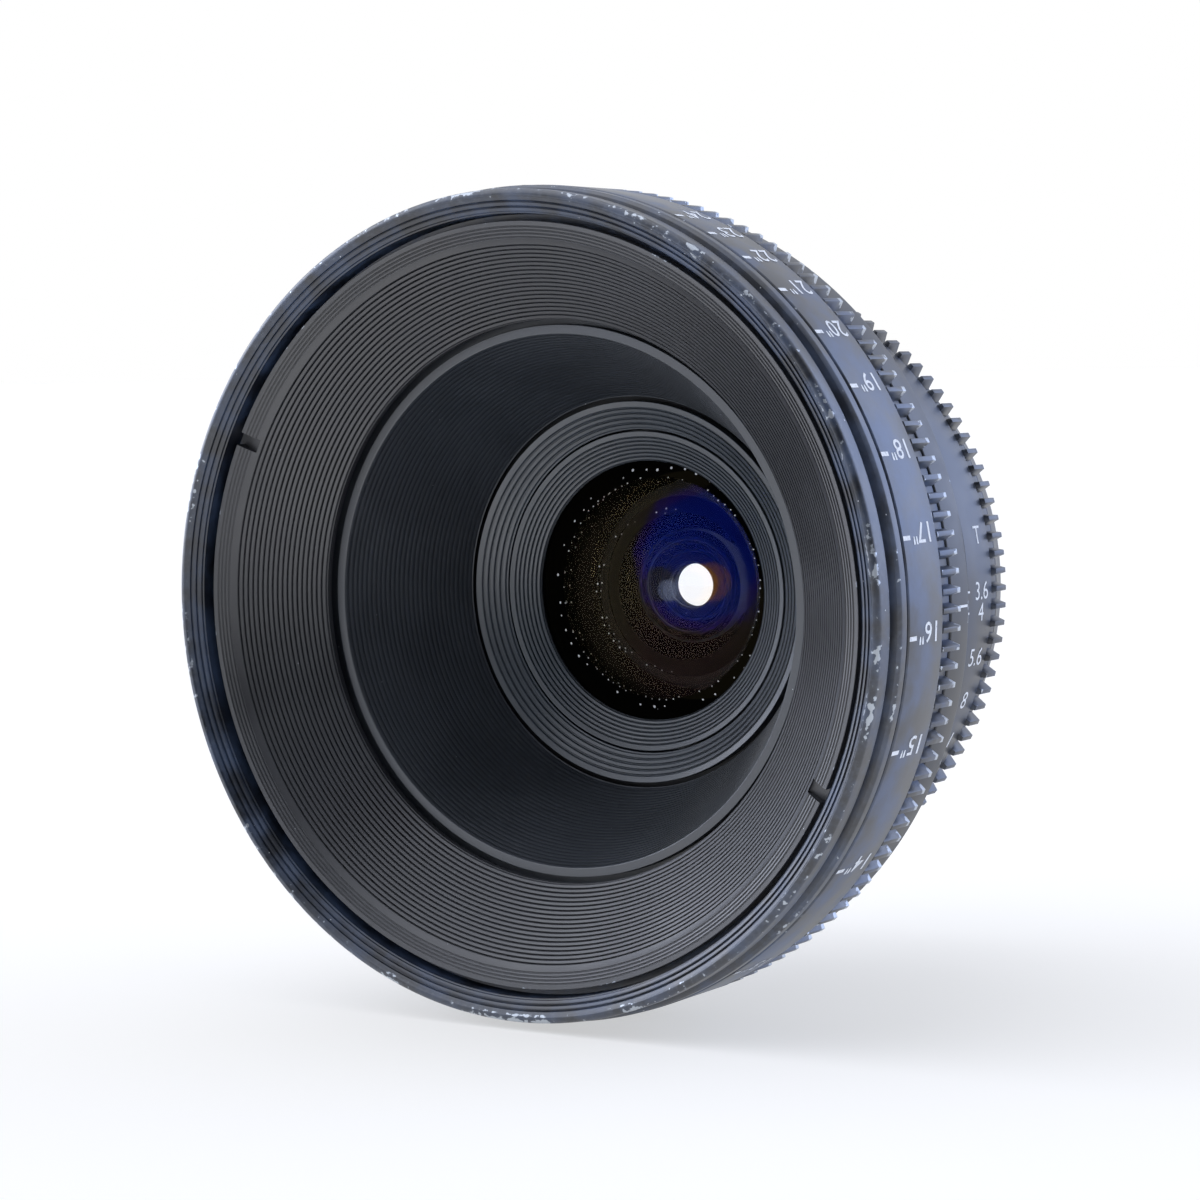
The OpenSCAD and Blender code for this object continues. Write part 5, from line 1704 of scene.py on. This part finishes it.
@dataclass
class Studio:
    """White sweep, windows and the camera."""

    floor_gap: float = 0.4
    floor_size: float = 40.0
    floor_cells: int = 8
    paper: str = "#fcf9f4"
    paper_glow: str = "#fdfeff"
    glow: float = 1.0
    glow_share: float = 0.55
    room_colour: str = "#f4f7ff"
    dim_side: tuple[float, float, float] = (0.53, -0.845, 0.07)
    dim_from: float = 0.05
    dim_full: float = 0.8
    dim_colour: str = "#2c2e33"
    windows: tuple[Window, ...] = (
        Window("window_right", (0.62, 0.72, 0.22), 1.5, 60.0, "#a9c4ff"),
        Window("window_top", (-0.45, -0.3, 0.85), 1.15, 80.0, "#edf2ff"),
        Window("window_left", (-0.93, -0.16, 0.1), 2.6, 60.0, "#dfe8ff"))
    camera_place: tuple[float, float, float] = (0.24693, -0.44951, 0.03315)
    camera_forward: tuple[float, float, float] = (-0.52992, 0.84498, -0.07204)
    camera_up: tuple[float, float, float] = (-0.02507, 0.06931, 0.99728)
    focal_mm: float = 98.11
    sensor_mm: float = 36.0
    near_m: float = 0.01
    far_m: float = 50.0

    def camera(self) -> None:
        """Sets the camera up at the photograph's viewing angle."""
        data = bpy.data.cameras.new("camera")
        data.lens, data.sensor_width = self.focal_mm, self.sensor_mm
        data.clip_start, data.clip_end = self.near_m, self.far_m
        obj = placed("camera", data)
        forward, up = Vector(self.camera_forward).normalized(), Vector(self.camera_up)
        right = forward.cross(up).normalized()
        up = right.cross(forward)
        turn = Matrix((right, up, -forward)).transposed().to_4x4()
        obj.matrix_world = Matrix.Translation(self.camera_place) @ turn
        bpy.context.scene.camera = obj

    def floor(self) -> None:
        """Lays a pale floor that shows white to the camera and keeps the shadow."""
        bm = bmesh.new()
        bmesh.ops.create_grid(bm, x_segments=self.floor_cells, y_segments=self.floor_cells,
                              size=self.floor_size / 2)
        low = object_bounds()[0].z - self.floor_gap * MM
        bmesh.ops.translate(bm, verts=bm.verts, vec=(0, 0, low))
        obj = placed("floor", meshed(bm, "floor"))
        obj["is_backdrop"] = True
        s = Shader("white_sweep")
        light = {"Color": linear(self.paper_glow), "Strength": self.glow}
        ray = s.add("ShaderNodeLightPath").outputs
        seen = s.maths("MAXIMUM", ray["Is Camera Ray"],
                       s.maths("MAXIMUM", ray["Is Glossy Ray"], ray["Is Transmission Ray"]))
        sweep = s.blended(s.maths("MULTIPLY", seen, self.glow_share), s.matt(linear(self.paper)),
                          s.add("ShaderNodeEmission", light).outputs[0])
        obj.data.materials.append(s.finish(sweep))

    def world(self) -> None:
        """Makes the room: white all round, dim behind the photographer, and white to the camera."""
        world = bpy.data.worlds.new("studio")
        bpy.context.scene.world = world
        s = Shader("studio", world)
        facing = s.add("ShaderNodeVectorMath", {0: s.place, 1: self.dim_side},
                       operation="DOT_PRODUCT").outputs["Value"]
        dim = s.ramped(facing, self.dim_from, self.dim_full)
        room = s.mixed(dim, linear(self.room_colour), linear(self.dim_colour))
        ray = s.add("ShaderNodeLightPath").outputs
        seen = s.maths("MAXIMUM", ray["Is Camera Ray"], ray["Is Transmission Ray"])
        colour = s.mixed(seen, room, WHITE)
        s.finish(s.add("ShaderNodeBackground", {"Color": colour, "Strength": 1.0}).outputs[0])

    def light(self, window: Window) -> None:
        """Lights the lens from a window that is far away, so that the floor is lit evenly.

        Args:
            window: where it lies and how it shines.
        """
        data = bpy.data.lights.new(window.name, "SUN")
        data.energy, data.angle = window.strength, math.radians(window.spread)
        data.color = linear(window.colour)[:3]
        obj = placed(window.name, data)
        obj.matrix_world = (-Vector(window.place)).to_track_quat("-Z", "Y").to_matrix().to_4x4()

    def build(self) -> None:
        """Sets the whole studio up."""
        self.floor()
        self.world()
        for window in self.windows:
            self.light(window)
        self.camera()
        bpy.context.scene.view_settings.view_transform = "Standard"


def main() -> None:
    """Builds the lens from the front backwards, then the studio."""
    logging.basicConfig(level=logging.INFO, format="%(name)s: %(message)s")
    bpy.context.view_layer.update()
    shop = Workshop()
    for part in (FrontRing, OuterBaffle, InnerBaffle, Glass, FocusRing, IrisRing, Sleeves, Mount, PlainNodes):
        part(shop).build()
    Studio().build()
    log.info("%d pieces made", len(shop.made))


if __name__ == "__main__":
    main()
